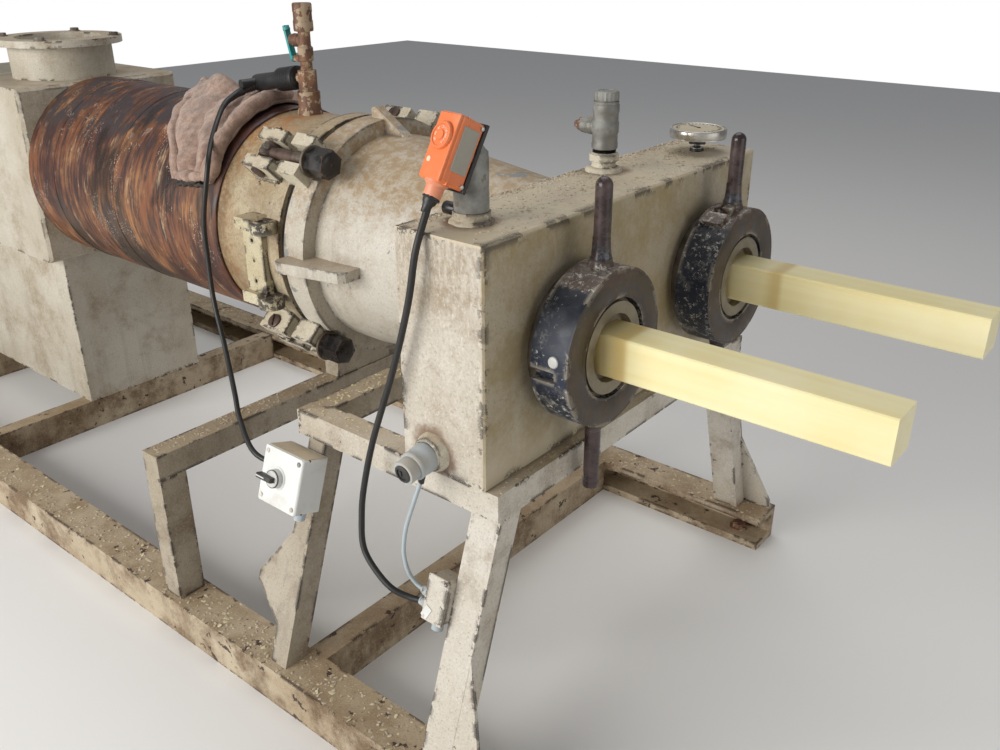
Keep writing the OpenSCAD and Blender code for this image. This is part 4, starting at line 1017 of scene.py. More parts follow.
# %% Ring nut details
RING_MID = 0.436  # middle of the ring nuts along X
NEAR_DIE = -0.2125
FAR_DIE = 0.2325
for side, y in (("near", NEAR_DIE), ("far", FAR_DIE)):

    def rod_foot(bm, y=y):
        up = T(RING_MID, y, CENTRE)
        lathe(bm, [(0.0225, 0.1270), (0.0205, 0.132), (0.0180, 0.139), (0.0160, 0.148), (0.0147, 0.160),
                   (0.0140, 0.176)], up, 36, wave=lambda a, z: 1 + 0.03 * math.sin(3 * a + 90 * z))

    def low_foot(bm, y=y):
        down = T(RING_MID, y, CENTRE) @ turn(180, "X")
        lathe(bm, [(0.0225, 0.1270), (0.0200, 0.135), (0.0165, 0.144), (0.0140, 0.156)], down, 36)
        lathe(bm, [(0.0140, 0.256), (0.0140, 0.2645), (0.0122, 0.2668), (0, 0.2668)], down, 36)

    def front_face(bm, y=y):
        at = T(0.4702, y, CENTRE) @ turn(90, "Y")
        lathe(bm, [(0.0835, -0.012), (0.0865, -0.001), (0.0885, 0.0005), (0.1255, 0.0008),
                   (0.1290, -0.001), (0.1322, -0.0045), (0.1300, -0.006), (0.0830, -0.013)], at, 96,
              closed=True)

    body = f"ring_nut_{side}"
    piece(f"rod_foot_{side}", ring_coat, rod_foot, body)
    piece(f"rod_end_{side}", ring_coat, low_foot, body)
    piece(f"ring_face_{side}", ring_coat, front_face, body)


def ring_screw(bm):
    at = T(0.445, NEAR_DIE, CENTRE) @ turn(84, "X") @ T(0, 0, 0.1305)
    lathe(bm, [(0.0094, 0), (0.0094, 0.0030), (0.0082, 0.0044), (0.0040, 0.0050), (0, 0.0050)], at, 28)


def ring_stop(bm):
    at = T(RING_MID + 0.008, FAR_DIE, CENTRE) @ turn(13, "X") @ T(0, 0, 0.136)
    block(bm, (0.020, 0.012, 0.014), at)
    lathe(bm, [(0.008, -0.006), (0.008, 0.004), (0.006, 0.006), (0, 0.006)], at @ T(-0.022, 0.004, 0), 20)


piece("ring_screw", zinc, ring_screw, "ring_nut_near")
piece("ring_stop", ring_coat, ring_stop, "ring_nut_far", 0.002)
print("ring nuts dressed")

# %% [markdown]
# The thermostat is the brightest piece: an orange case with a raised lid, a knurled dial with
# numbers, a bare grey plate on its side, a black back plate and a pink gland with a black collar.

# %% Thermostat
CASE = T(0.273, -0.393, 1.100) @ turn(-10, "Z") @ turn(-27.5, "X")


def case_lid(bm):
    block(bm, (0.047, 0.005, 0.097), CASE @ T(0, -0.0005, 0))
    block(bm, (0.0515, 0.0024, 0.1015), CASE @ T(0, 0.0125, 0))


def case_screws(bm):
    for z in (-0.044, 0.044):
        lathe(bm, [(0.0034, -0.0006), (0.0034, 0.0012), (0.0022, 0.002), (0, 0.002)],
              CASE @ T(0.0258, 0.0405, z) @ turn(90, "Y"), 16)


def dial_rim(bm):
    at = CASE @ T(0, -0.0062, 0.014) @ turn(90, "X")
    lathe(bm, [(0.0205, -0.003), (0.0205, 0.0012), (0.0195, 0.0024), (0.0165, 0.0026), (0.0158, 0.0012),
               (0.0075, 0.0012), (0.0068, 0.0030), (0, 0.0034)], at, 72,
          wave=lambda a, z: 1.0 + (0.02 * math.sin(24 * a) if z < 0.0025 else 0.0))


def side_plate(bm):
    block(bm, (0.0014, 0.030, 0.066), CASE @ T(0.0256, 0.024, 0.004))


def pale_spot(bm):
    lathe(bm, [(0.0042, 0), (0.0040, 0.0008), (0, 0.0010)],
          CASE @ T(-0.013, -0.003, -0.022) @ turn(90, "X"), 24)


def back_plate(bm):
    block(bm, (0.0548, 0.0062, 0.1050), CASE @ T(0, 0.0475, 0))
    block(bm, (0.012, 0.010, 0.020), CASE @ T(0.008, 0.0520, -0.030))


def case_gland(bm):
    at = CASE @ T(0, 0.0153, -0.050) @ turn(180, "X")
    lathe(bm, [(0.0185, -0.002), (0.0185, 0.002), (0.0140, 0.006), (0.0136, 0.021), (0.0128, 0.0226),
               (0.008, 0.0226)], at, 32)


def gland_collar(bm):
    at = CASE @ T(0, 0.0153, -0.0715) @ turn(180, "X")
    lathe(bm, [(0.0110, 0), (0.0135, 0.0008), (0.0135, 0.0038), (0.0112, 0.0050), (0.0104, 0.0100),
               (0.0082, 0.0130), (0.0066, 0.0190), (0.0057, 0.025)], at @ turn(-9, "X"), 28,
          wave=lambda a, z: 1 + (0.02 * math.sin(12 * a) if z < 0.006 else 0))


piece("thermostat_lid", orange, case_lid, soft=0.0022)
piece("thermostat_screws", bezel, case_screws)
piece("dial_rim", orange, dial_rim, "thermostat_dial")
piece("thermostat_side", grey_tag, side_plate, soft=0.0004)
piece("thermostat_spot", dial_ink, pale_spot)
piece("thermostat_back", black_plastic, back_plate, soft=0.001)
piece("thermostat_gland", pink_gland, case_gland)
piece("gland_collar", black_plastic, gland_collar)
print("thermostat dressed")

# %% [markdown]
# The numbers stand round the dial as thin raised figures, all in one mesh that turns with it.

# %% Dial numbers
def dial_number(text, angle):
    c = bpy.data.curves.new("number_" + text, "FONT")
    c.body = text
    c.size = 0.0056
    c.align_x = "CENTER"
    c.align_y = "CENTER"
    c.extrude = 0.0004
    o = bpy.data.objects.new("dial_number_" + text, c)
    bpy.context.collection.objects.link(o)
    o.matrix_world = CASE @ T(0, -0.0077, 0.014) @ turn(90, "X") @ turn(-angle, "Z") @ T(0, 0.0118, 0)
    me = baked(o)
    me.transform(o.matrix_world)
    bpy.data.objects.remove(o)
    return me


number_mesh = bpy.data.meshes.new("dial_numbers")
bm = bmesh.new()
for k, text in enumerate(("30", "60", "90", "120", "150", "180", "210")):
    part = dial_number(text, -130 + k * 43.3)
    bm.from_mesh(part)
    bpy.data.meshes.remove(part)
bm.to_mesh(number_mesh)
bm.free()
number_mesh.materials.append(dial_ink)
numbers = bpy.data.objects.new("dial_numbers", number_mesh)
bpy.context.collection.objects.link(numbers)
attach(numbers, "thermostat_dial")
print("dial numbers", len(number_mesh.polygons), "faces")

# %% [markdown]
# The fittings on top of the die box are turned parts. First comes the pocket under the
# thermostat: two couplings on a flanged foot, with a small dark mouth at the side.

# %% Pocket
POCKET = T(0.284, -0.341, BOX_TOP)


def pocket_dress(bm):
    lathe(bm, [(0.0262, 0.018), (0.0266, 0.019), (0.0272, 0.023), (0.0272, 0.044), (0.0268, 0.049),
               (0.0262, 0.0515), (0.0262, 0.0535), (0.0267, 0.054), (0.0269, 0.060), (0.0269, 0.092),
               (0.0264, 0.100), (0.0240, 0.1065), (0.0190, 0.1142), (0, 0.1146)], POCKET, 48,
          wave=lambda a, z: 1 + 0.006 * math.sin(3 * a + 40 * z))


def pocket_foot(bm):
    lathe(bm, [(0.0345, 0.0), (0.0340, 0.004), (0.0300, 0.007), (0.0294, 0.0185), (0.0262, 0.0190)],
          POCKET, 48,
          wave=lambda a, z: 1 + (0.05 * math.sin(5 * a + 1) * math.cos(3 * a) if z < 0.005 else 0))


def pocket_mouth(bm):
    at = T(0.248, -0.345, BOX_TOP + 0.016) @ turn(-90, "Y")
    lathe(bm, [(0.0092, -0.012), (0.0102, -0.010), (0.0102, 0.012), (0.0092, 0.0135), (0.0074, 0.0135),
               (0.0070, 0.004), (0, 0.003)], at, 28)


piece("pocket_couplings", galvanised, pocket_dress)
piece("pocket_foot", lug_coat, pocket_foot)
piece("pocket_mouth", dark_steel, pocket_mouth)
print("pocket dressed")

# %% [markdown]
# The air vent has a knurled foot, a short thread, a banded body with a side plug,
# and a cap with scallops round its rim.

# %% Vent
VENT = T(0.246, 0.077, BOX_TOP)


def vent_lower(bm):
    lathe(bm, [(0.0345, 0), (0.0330, 0.004), (0.0305, 0.007), (0.0235, 0.009), (0.0222, 0.013),
               (0.0222, 0.018), (0.0268, 0.0195), (0.0268, 0.031), (0.0245, 0.033), (0.0215, 0.0345)],
          VENT, 48, wave=lambda a, z: 1 + (0.018 * math.sin(14 * a) if 0.0185 < z < 0.032 else 0))


def vent_thread(bm):
    pts = []
    for k in range(5):
        pts += [(0.0205, 0.0335 + k * 0.0018), (0.0218, 0.0344 + k * 0.0018)]
    lathe(bm, pts + [(0.0202, 0.043)], VENT, 40)


def vent_body(bm):
    lathe(bm, [(0.0205, 0.0405), (0.0238, 0.0420), (0.0242, 0.050), (0.0232, 0.052), (0.0232, 0.068),
               (0.0246, 0.070), (0.0246, 0.088), (0.0232, 0.090), (0.0232, 0.104), (0.0242, 0.106),
               (0.0242, 0.118), (0.0225, 0.1215), (0.0206, 0.1225)], VENT, 48)
    side = VENT @ T(-0.0215, 0, 0.078) @ turn(-90, "Y")
    lathe(bm, [(0.0130, 0.000), (0.0152, 0.003), (0.0152, 0.012), (0.0142, 0.014), (0.0148, 0.0215)],
          side, 36, wave=lambda a, z: 1 + (0.02 * math.sin(10 * a) if z > 0.002 else 0))


def vent_cap(bm):
    lathe(bm, [(0.0200, 0.1262), (0.0228, 0.1268), (0.0232, 0.129), (0.0232, 0.139), (0.0222, 0.1424),
               (0.0165, 0.1430), (0.0155, 0.1412), (0, 0.1412)], VENT, 96,
          wave=lambda a, z: 1 - (0.045 * abs(math.sin(9 * a)) if 0.1265 < z < 0.1425 else 0))
    block(bm, (0.020, 0.003, 0.0016), VENT @ T(0, 0, 0.1418) @ turn(35, "Z"))


def side_plug(bm):
    at = T(0.199, 0.077, BOX_TOP + 0.078) @ turn(-90, "Y")
    lathe(bm, [(0.0125, -0.003), (0.0128, 0.0010), (0.0128, 0.0085), (0.0105, 0.010), (0.0072, 0.0105),
               (0.0066, 0.018), (0, 0.0185)], at, 6)


piece("vent_foot", lug_coat, vent_lower)
piece("vent_thread", dark_steel, vent_thread)
piece("vent_bands", galvanised, vent_body)
piece("vent_cap", galvanised, vent_cap)
piece("vent_side_plug", rusty_steel, side_plug)
print("vent dressed")

# %% [markdown]
# The dial thermometer lies flat on its short stem: a bright rim, a cream face with ticks only,
# and one pointer.

# %% Thermometer
GAUGE = T(0.295, 0.343, BOX_TOP)


def gauge_rim(bm):
    at = GAUGE @ T(0, 0, 0.028)
    lathe(bm, [(0.0500, 0.0), (0.0555, 0.0008), (0.0566, 0.0025), (0.0566, 0.0155), (0.0556, 0.0178),
               (0.0540, 0.0186), (0.0520, 0.0182), (0.0508, 0.0168), (0.0500, 0.014)], at, 96)


def gauge_face(bm):
    lathe(bm, [(0.0512, 0.0166), (0.0505, 0.0174), (0, 0.0178)], GAUGE @ T(0, 0, 0.028), 64)


def gauge_marks(bm):
    at = GAUGE @ T(0, 0, 0.0460)
    for k in range(28):
        long = 0.008 if k % 3 == 0 else 0.005
        block(bm, (long, 0.0009, 0.0004), at @ turn(-45 + k * 10, "Z") @ T(0.0455 - long / 2, 0, 0))
    block(bm, (0.040, 0.0016, 0.0006), at @ turn(152, "Z") @ T(0.013, 0, 0.0003))
    lathe(bm, [(0.0035, -0.0004), (0.0035, 0.0008), (0, 0.001)], at, 20)


def gauge_neck(bm):
    lathe(bm, [(0.0142, 0), (0.0138, 0.006), (0.0075, 0.0085), (0.0064, 0.010), (0.0064, 0.0145),
               (0.0168, 0.0150), (0.0168, 0.0268), (0.0150, 0.0282)], GAUGE, 36)


piece("gauge_rim", bezel, gauge_rim)
piece("gauge_face", dial_face, gauge_face)
piece("gauge_marks", black_plastic, gauge_marks)
piece("gauge_neck", black_plastic, gauge_neck)
print("thermometer dressed")

# %% [markdown]
# The heater plug leaves the near end of the box through a rough painted boss.
# Its end is a pale bell with a black core, and a black grommet hangs under it for the thin cable.

# %% Heater plug
HEAT = T(0.272, -0.429, 0.614) @ turn(90, "X")
DROOP = HEAT @ T(0, 0, 0.011) @ turn(8, "X")


def heater_boss(bm):
    lathe(bm, [(0.0345, 0.0), (0.0330, 0.005), (0.0300, 0.010), (0.0292, 0.0150), (0.0250, 0.0176)], HEAT,
          48, wave=lambda a, z: 1 + 0.03 * math.sin(5 * a) * math.sin(3 * a + 200 * z))


def heater_bell(bm):
    lathe(bm, [(0.0244, 0.0040), (0.0256, 0.0070), (0.0256, 0.0200), (0.0246, 0.0215), (0.0246, 0.0340),
               (0.0252, 0.0355), (0.0252, 0.0380), (0.0236, 0.0402), (0.0200, 0.0408)], DROOP, 48)


def heater_end(bm):
    lathe(bm, [(0.0196, 0.0400), (0.0208, 0.0425), (0.0208, 0.0575), (0.0198, 0.0604), (0.0165, 0.0612),
               (0.0150, 0.0612)], DROOP, 72, wave=lambda a, z: 1 + 0.012 * math.sin(3 * a + 200 * z))


def heater_core(bm):
    lathe(bm, [(0.0156, 0.0590), (0.0156, 0.0628), (0.0142, 0.0640), (0.0112, 0.0640), (0.0102, 0.0618),
               (0, 0.0618)], DROOP, 72,
          wave=lambda a, z: 1 - (0.05 * abs(math.sin(5 * a)) if z > 0.0635 else 0))
    block(bm, (0.0030, 0.0090, 0.0030), DROOP @ T(-0.0030, 0, 0.0622))


def heater_grommet(bm):
    at = T(0.275, -0.463, 0.592) @ turn(180, "X")
    lathe(bm, [(0.0090, -0.004), (0.0094, 0.000), (0.0086, 0.004), (0.0072, 0.007), (0.0072, 0.010),
               (0.0058, 0.013), (0.0045, 0.020)], at, 24)


piece("heater_boss", lug_coat, heater_boss)
piece("heater_bell", bell_mat, heater_bell)
piece("heater_end", bell_mat, heater_end)
piece("heater_core", black_plastic, heater_core)
piece("heater_grommet", black_plastic, heater_grommet)
print("heater dressed")

# %% [markdown]
# The selector sits on a splayed leg, so its details are drawn in the frame of the leg:
# Y points into it.

# %% Selector
LEG_TOP = 0.527
LEG_FOOT = 0.088
LEG_SPLAY = 0.147  # how far the foot stands out from the top


def on_leg(x, down):
    slope = LEG_SPLAY / (LEG_TOP - LEG_FOOT)
    return T(x, -0.416 - down * slope, LEG_TOP - down) @ turn(-math.degrees(math.atan(slope)), "X")


SEL = on_leg(-0.046, 0.074)
KNOB = SEL @ T(-0.008, -0.0668, 0) @ turn(90, "X")


def selector_lid(bm):
    block(bm, (0.1064, 0.0165, 0.1064), SEL @ T(0, -0.0578, 0))


def selector_screws(bm):
    for x in (-0.043, 0.043):
        for z in (-0.043, 0.043):
            at = SEL @ T(x, -0.0662, z) @ turn(90, "X")
            lathe(bm, [(0.0050, 0), (0.0048, 0.0006), (0.0036, 0.0006), (0.0034, 0.0016), (0, 0.0018)],
                  at, 20)


def selector_seam(bm):
    block(bm, (0.1056, 0.0016, 0.1056), SEL @ T(0, -0.0488, 0))


def knob_ring(bm):
    at = SEL @ T(-0.008, -0.0664, 0) @ turn(90, "X")
    lathe(bm, [(0.0225, -0.0005), (0.0222, 0.0010), (0.0185, 0.0014), (0.0175, 0.0010),
               (0.0175, -0.0005)], at, 40, closed=True)


def knob_base(bm):
    lathe(bm, [(0.0176, 0.0), (0.0174, 0.009), (0.0150, 0.0125), (0, 0.0130)], KNOB, 40,
          wave=lambda a, z: 1 + (0.02 * math.sin(20 * a) if z < 0.01 else 0))


def knob_grip(bm):
    block(bm, (0.040, 0.0096, 0.0130), KNOB @ T(-0.0112, 0, 0.0168))


def knob_line(bm):
    block(bm, (0.022, 0.0020, 0.0008), KNOB @ T(-0.0190, 0, 0.0236))


def selector_gland(bm):
    at = SEL @ T(0.035, -0.035, -0.053) @ turn(180, "X")
    lathe(bm, [(0.0118, -0.001), (0.0118, 0.006), (0.0104, 0.0075), (0.0104, 0.0150), (0.0090, 0.0170),
               (0, 0.0172)], at, 24, wave=lambda a, z: 1 + (0.03 * math.sin(6 * a) if z > 0.007 else 0))


def selector_dust(bm):
    block(bm, (0.100, 0.050, 0.0012), SEL @ T(0, -0.034, 0.0532))


piece("selector_lid", white_case, selector_lid, soft=0.004)
piece("selector_screws", bezel, selector_screws)
piece("selector_seam", black_plastic, selector_seam)
piece("knob_ring", white_case, knob_ring)
piece("knob_base", zinc, knob_base, "selector_knob")
piece("knob_grip", black_plastic, knob_grip, "selector_knob", 0.0012)
piece("knob_line", white_case, knob_line, "selector_knob")
piece("selector_gland", pale_cable, selector_gland)
piece("selector_dust", crumb_mat, selector_dust, soft=0.0006)
print("selector dressed")

# %% [markdown]
# The junction box has a screwed lid, a knotted gland where the cord comes in, a torn paper tab
# and an elbow under it.

# %% Junction box
JUN = on_leg(0.320, 0.158)


def junction_lid(bm):
    block(bm, (0.0448, 0.006, 0.0828), JUN @ T(0, -0.0178, 0))
    for x, z in ((-0.016, -0.034), (0.016, 0.034)):
        lathe(bm, [(0.0040, 0), (0.0036, 0.0018), (0, 0.0022)], JUN @ T(x, -0.0206, z) @ turn(90, "X"),
              18)


def junction_knots(bm):
    r = random.Random(12)
    for z in (0.000, -0.020):
        for k in range(4):
            at = JUN @ T(-0.024 - 0.0045 * k, -0.0062, z) @ turn(90, "Y")
            rad = 0.0098 - 0.0009 * k
            phase = r.random() * 6
            lathe(bm, [(rad * 0.8, -0.003), (rad, -0.0015), (rad * 1.03, 0.0), (rad, 0.0015),
                       (rad * 0.8, 0.003)], at, 20, wave=lambda a, z: 1 + 0.06 * math.sin(3 * a + phase))


def junction_tab(bm):
    block(bm, (0.014, 0.0012, 0.022), JUN @ T(-0.012, -0.0216, -0.026) @ turn(24, "Y"))


def junction_elbow(bm):
    at = JUN @ T(0, 0.002, -0.041) @ turn(180, "X")
    lathe(bm, [(0.0112, -0.001), (0.0112, 0.005), (0.0104, 0.0065), (0.0104, 0.0165), (0.0085, 0.0180),
               (0.006, 0.0180), (0.0058, 0.012), (0, 0.012)], at, 24)


piece("junction_lid", frame_coat, junction_lid, soft=0.002)
piece("junction_knots", pale_cable, junction_knots)
piece("junction_tab", white_case, junction_tab)
piece("junction_elbow", pale_cable, junction_elbow)
print("junction box dressed")

# %% [markdown]
# The valve stack on the barrel neck is a column of pipe fittings: a wide foot, a hexagon,
# a thread, a side outlet and a knurled cap. The teal lever has a cap of its own.

# %% Valve stack
VAL = T(-0.480, 0, 1.012)


def valve_column(bm):
    lathe(bm, [(0.0285, 0.0), (0.0275, 0.010), (0.0245, 0.016), (0.0245, 0.050), (0.0215, 0.0525)], VAL,
          40, wave=lambda a, z: 1 + 0.015 * math.sin(4 * a + 80 * z))
    hexagon(bm, 0.0356, 0.0445, VAL @ T(0, 0, 0.0518), 0.1)
    pts = [(0.0124, 0.096)]
    for k in range(6):
        pts += [(0.0134, 0.098 + k * 0.0022), (0.0126, 0.0991 + k * 0.0022)]
    lathe(bm, pts + [(0.0132, 0.114), (0.0165, 0.116), (0.0170, 0.142), (0.0132, 0.146), (0.0132, 0.175)],
          VAL, 32)


def valve_cap(bm):
    lathe(bm, [(0.0130, 0.1745), (0.0205, 0.1760), (0.0212, 0.180), (0.0212, 0.196), (0.0195, 0.200),
               (0.0195, 0.212), (0.0208, 0.215), (0.0208, 0.2295), (0.0188, 0.2325), (0, 0.2328)], VAL,
          36, wave=lambda a, z: 1 + (0.02 * math.sin(12 * a) if z > 0.213 else 0))
    out = VAL @ T(-0.022, 0, 0.156) @ turn(-90, "Y")
    lathe(bm, [(0.0128, -0.006), (0.0140, 0.0), (0.0140, 0.010), (0.0122, 0.012), (0.0122, 0.0192),
               (0.0095, 0.0198), (0.0090, 0.012), (0, 0.012)], out, 28)
    mid = VAL @ T(-0.014, 0, 0.078) @ turn(-90, "Y")
    lathe(bm, [(0.0104, -0.004), (0.0120, 0.0), (0.0120, 0.0115), (0.0102, 0.0130), (0.0102, 0.0170)],
          mid, 28)


def lever_cap(bm):
    at = VAL @ T(-0.0365, 0, 0.118) @ turn(-90, "Y")
    tip = at @ turn(-16, "Y") @ T(0.060, 0, 0.0035) @ turn(90, "Y")
    lathe(bm, [(0.0078, 0.0005), (0.0078, 0.0062), (0.0062, 0.0078), (0, 0.0080)], at, 24)
    lathe(bm, [(0.0080, 0.0), (0.0082, 0.004), (0.006, 0.008), (0, 0.009)], tip, 20)


piece("valve_column", rusty_steel, valve_column)
piece("valve_cap", rusty_steel, valve_cap)
piece("lever_cap", teal, lever_cap, "valve_lever")
print("valve stack dressed")

# %% [markdown]
# The black probe plug leans out of the side branch. Its ribbed relief and a soft sleeve lead
# into the first part of the cord.

# %% Probe plug
PROBE = VAL @ T(-0.030, 0, 0.078) @ turn(-99, "Y")


def probe_body(bm):
    ridge = [(0.0, -0.002), (0.021, -0.002), (0.0250, 0.001), (0.0258, 0.006)]
    for k in range(6):
        ridge += [(0.0258, 0.010 + k * 0.007), (0.0240, 0.0115 + k * 0.007), (0.0240, 0.0135 + k * 0.007),
                  (0.0258, 0.015 + k * 0.007)]
    ridge += [(0.0256, 0.0585), (0.0215, 0.0615), (0.0186, 0.064), (0.0186, 0.146), (0.0170, 0.150),
              (0, 0.1508)]
    lathe(bm, ridge, PROBE, 40)


def probe_relief(bm):
    at = T(-0.646, -0.004, 1.0660) @ pointing((-0.14, -0.944, -0.30))
    pts = [(0.0118, -0.004)]
    for k in range(7):
        r = 0.0118 - 0.0007 * k
        pts += [(r, 0.002 + k * 0.006), (r * 0.86, 0.0035 + k * 0.006), (r * 0.86, 0.0055 + k * 0.006),
                (r - 0.0005, 0.007 + k * 0.006)]
    pts += [(0.0062, 0.050), (0.0056, 0.056)]
    lathe(bm, pts, at, 28)


piece("probe_body", black_plastic, probe_body)
piece("probe_relief", black_plastic, probe_relief)

probe_path = cords["probe_cable"][1]
first = [p for p in probe_path if (p - probe_path[0]).length < 0.075]
sleeve = curve_tube("probe_sleeve", first, 0.0098, black_plastic, 4,
                    [1 - 0.4 * i / len(first) for i in range(len(first))])
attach(sleeve, "root")
print("probe plug dressed")

# %% [markdown]
# The rag over the barrel is a draped sheet of felted wool. Its near edge is a line given
# in angle against length, and low folds run along and across it.

# %% Shape of the rag
def lerp_table(table, x):
    for (x0, y0), (x1, y1) in zip(table, table[1:]):
        if x <= x1:
            return y0 + (y1 - y0) * max(0.0, (x - x0) / (x1 - x0))
    return table[-1][1]


RAG_R = 0.2492  # where the felt lies flat on the jacket
LEFT_SIDE = [(-29, -0.915), (7, -0.894), (30, -0.812), (47, -0.762), (66, -0.696)]
RIGHT_SIDE = [(-29, -0.600), (12, -0.566), (36, -0.556), (57, -0.548), (66, -0.566)]


def rag_point(u, v, lift=0.0):
    a = -29 + (95 - 3 * u) * v
    left, right = lerp_table(LEFT_SIDE, a), lerp_table(RIGHT_SIDE, a)
    left += 0.010 * math.sin(a * 0.14) + 0.004 * math.sin(a * 0.41)
    x = left + (right - left) * u
    low = abs(math.sin(8 * u + 2.75 * v + 1.2 * math.sin(4 * v)))
    pleat = max(0.0, min(1.0, (u - 0.70) * 10)) * abs(math.sin(34 * u + 1.6 * math.sin(6 * v)))
    mid = 0.5 + 0.5 * math.sin(29 * u - 11 * v + 3 * math.sin(7 * u))
    tuck = math.exp(-((u - 0.80 + 0.10 * math.sin(5 * v)) / 0.045) ** 2)
    hump = math.exp(-((v - 0.32) / 0.07) ** 2) * math.exp(-((u - 0.28) / 0.30) ** 2)
    fold = 0.0130 * low + 0.0050 * mid + 0.0020 * math.sin(47 * v + 9 * u)
    fold = fold + 0.030 * hump + 0.0065 * pleat - 0.013 * tuck
    rim = min(1.0, min(u, 1 - u) * 12, v * 12, (1 - v) * 12)
    r = RAG_R + max(0.0, fold) * (0.3 + 0.7 * rim) + lift
    return Vector((x, -r * math.sin(math.radians(a)), CENTRE + r * math.cos(math.radians(a))))


def rag_sheet(bm):
    nu, nv = 96, 104
    grid = [[bm.verts.new(rag_point(i / nu, j / nv)) for j in range(nv + 1)] for i in range(nu + 1)]
    for i in range(nu):
        for j in range(nv):
            bm.faces.new((grid[i][j], grid[i + 1][j], grid[i + 1][j + 1], grid[i][j + 1]))


print("rag corners", [tuple(round(v, 3) for v in rag_point(u, v)) for u in (0, 1) for v in (0, 1)])

# %% [markdown]
# Felted wool is matt and tufted, with a little sheen. The sheet gets 7 mm of thickness.

# %% The rag itself
def wool():
    m, t, b, where = coat("felted_wool", 0.0, 0.95)
    fuzz = noise(t, where, 320.0, 5.0, 0.7)
    tuft = noise(t, where, 46.0, 7.0, 0.68)
    dirt = noise(t, where, 8.0, 6.0, 0.62)
    c = blend(t, ramp(t, tuft, 0.32, 0.70), (0.24, 0.140, 0.098), (0.50, 0.325, 0.232))
    c = blend(t, ramp(t, fuzz, 0.45, 0.75, 0.0, 0.5), c, (0.50, 0.36, 0.29))
    c = blend(t, ramp(t, dirt, 0.50, 0.70, 0.0, 0.65), c, (0.11, 0.060, 0.042))
    b.inputs["Sheen Weight"].default_value = 0.35
    b.inputs["Sheen Roughness"].default_value = 0.6
    h = plus(t, times(t, fuzz, 0.35), tuft)
    finish_coat(t, b, c, None, h, 1.0, 0.007)
    return m


wool_mat = wool()
rag = piece("wool_rag", wool_mat, rag_sheet, smooth=180)
thick = rag.modifiers.new("felt", "SOLIDIFY")
thick.thickness = 0.0070
thick.offset = 0.0
rag_w = sum((rag_point((i + 1) / 40, 0.5) - rag_point(i / 40, 0.5)).length for i in range(40))
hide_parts("insulation_wrap")

# %% [markdown]
# The front and lower edges of the rag are rolled into one thick hem.
# Below, the hem gapes over the jacket: a dark tube in that mouth is painted shade, with wet crust under
# it.

# %% Hem, mouth shade and crust
roll_path = [rag_point(0.955, k / 30, 0.010) for k in range(6, 30)]
roll_path += [rag_point(0.965 - 0.05 * k, 0.985, 0.006) for k in range(1, 16)]


def roll_width(k):
    return (1.25 if k < 24 else 0.85) + 0.22 * math.sin(k * 0.9 + 1) * math.sin(k * 0.33)


roll_wide = [roll_width(k) for k in range(len(roll_path))]
roll_wide[0] = 0.5
roll_wide[-1] = 0.4
hem_path = smooth_path(roll_path, 3)
hem_wide = [roll_wide[min(k // 3, len(roll_wide) - 1)] for k in range(len(hem_path))]
roll = curve_tube("rag_hem", hem_path, 0.0125, wool_mat, 5, hem_wide)
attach(roll, "root")

# The dark tube along the rag's lower edge is painted shade for the open gap under the hem.
mouth_shade_path = [rag_point(0.24 + 0.026 * k, 1.004, 0.001) for k in range(19)]
mouth = curve_tube("rag_mouth_shade", mouth_shade_path, 0.0105, seal_mat, 4,
                   [max(0.15, math.sin(math.pi * k / 18)) for k in range(19)])
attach(mouth, "root")
crust_path = [rag_point(0.10 + 0.045 * k, 1.022 + 0.006 * math.sin(1.7 * k), -0.004) for k in range(18)]
bead("rag_crust", crust_path, 0.0050, seal_mat, seed=9)
print("hem of", len(roll_path), "points, mouth and crust made")

# %% [markdown]
# The front edge of the jacket has a rolled lip that is not quite round, and two flat seams run
# round the jacket farther back.

# %% Jacket edge
def lip_wave(a, z):
    return 1 + 0.0022 * math.sin(9 * a) + 0.0016 * math.sin(23 * a)


def jacket_band(bm):
    at = T(-0.5395, 0, CENTRE) @ turn(90, "Y")
    lathe(bm, [(0.2385, -0.012), (0.2443, -0.012), (0.2446, -0.009), (0.2443, 0.000), (0.2420, 0.0030),
               (0.2385, 0.0035)], at, 128, closed=True, wave=lip_wave)


def jacket_seam(bm):
    at = T(-0.96, 0, CENTRE) @ turn(90, "Y")
    for x in (0.0, -0.28):
        lathe(bm, [(0.2435, -0.014 + x), (0.2452, -0.013 + x), (0.2452, 0.013 + x), (0.2435, 0.014 + x)],
              at, 128, closed=True)


piece("jacket_lip", jacket_coat, jacket_band)
piece("jacket_seams", jacket_coat, jacket_seam)
print("jacket edge dressed")

# %% [markdown]
# Crumbs and flakes lie where they fell: on top of the die box, on the frame ring, the beam and
# the base rails. One node group scatters them. Its inputs are named, and the points are seeded.

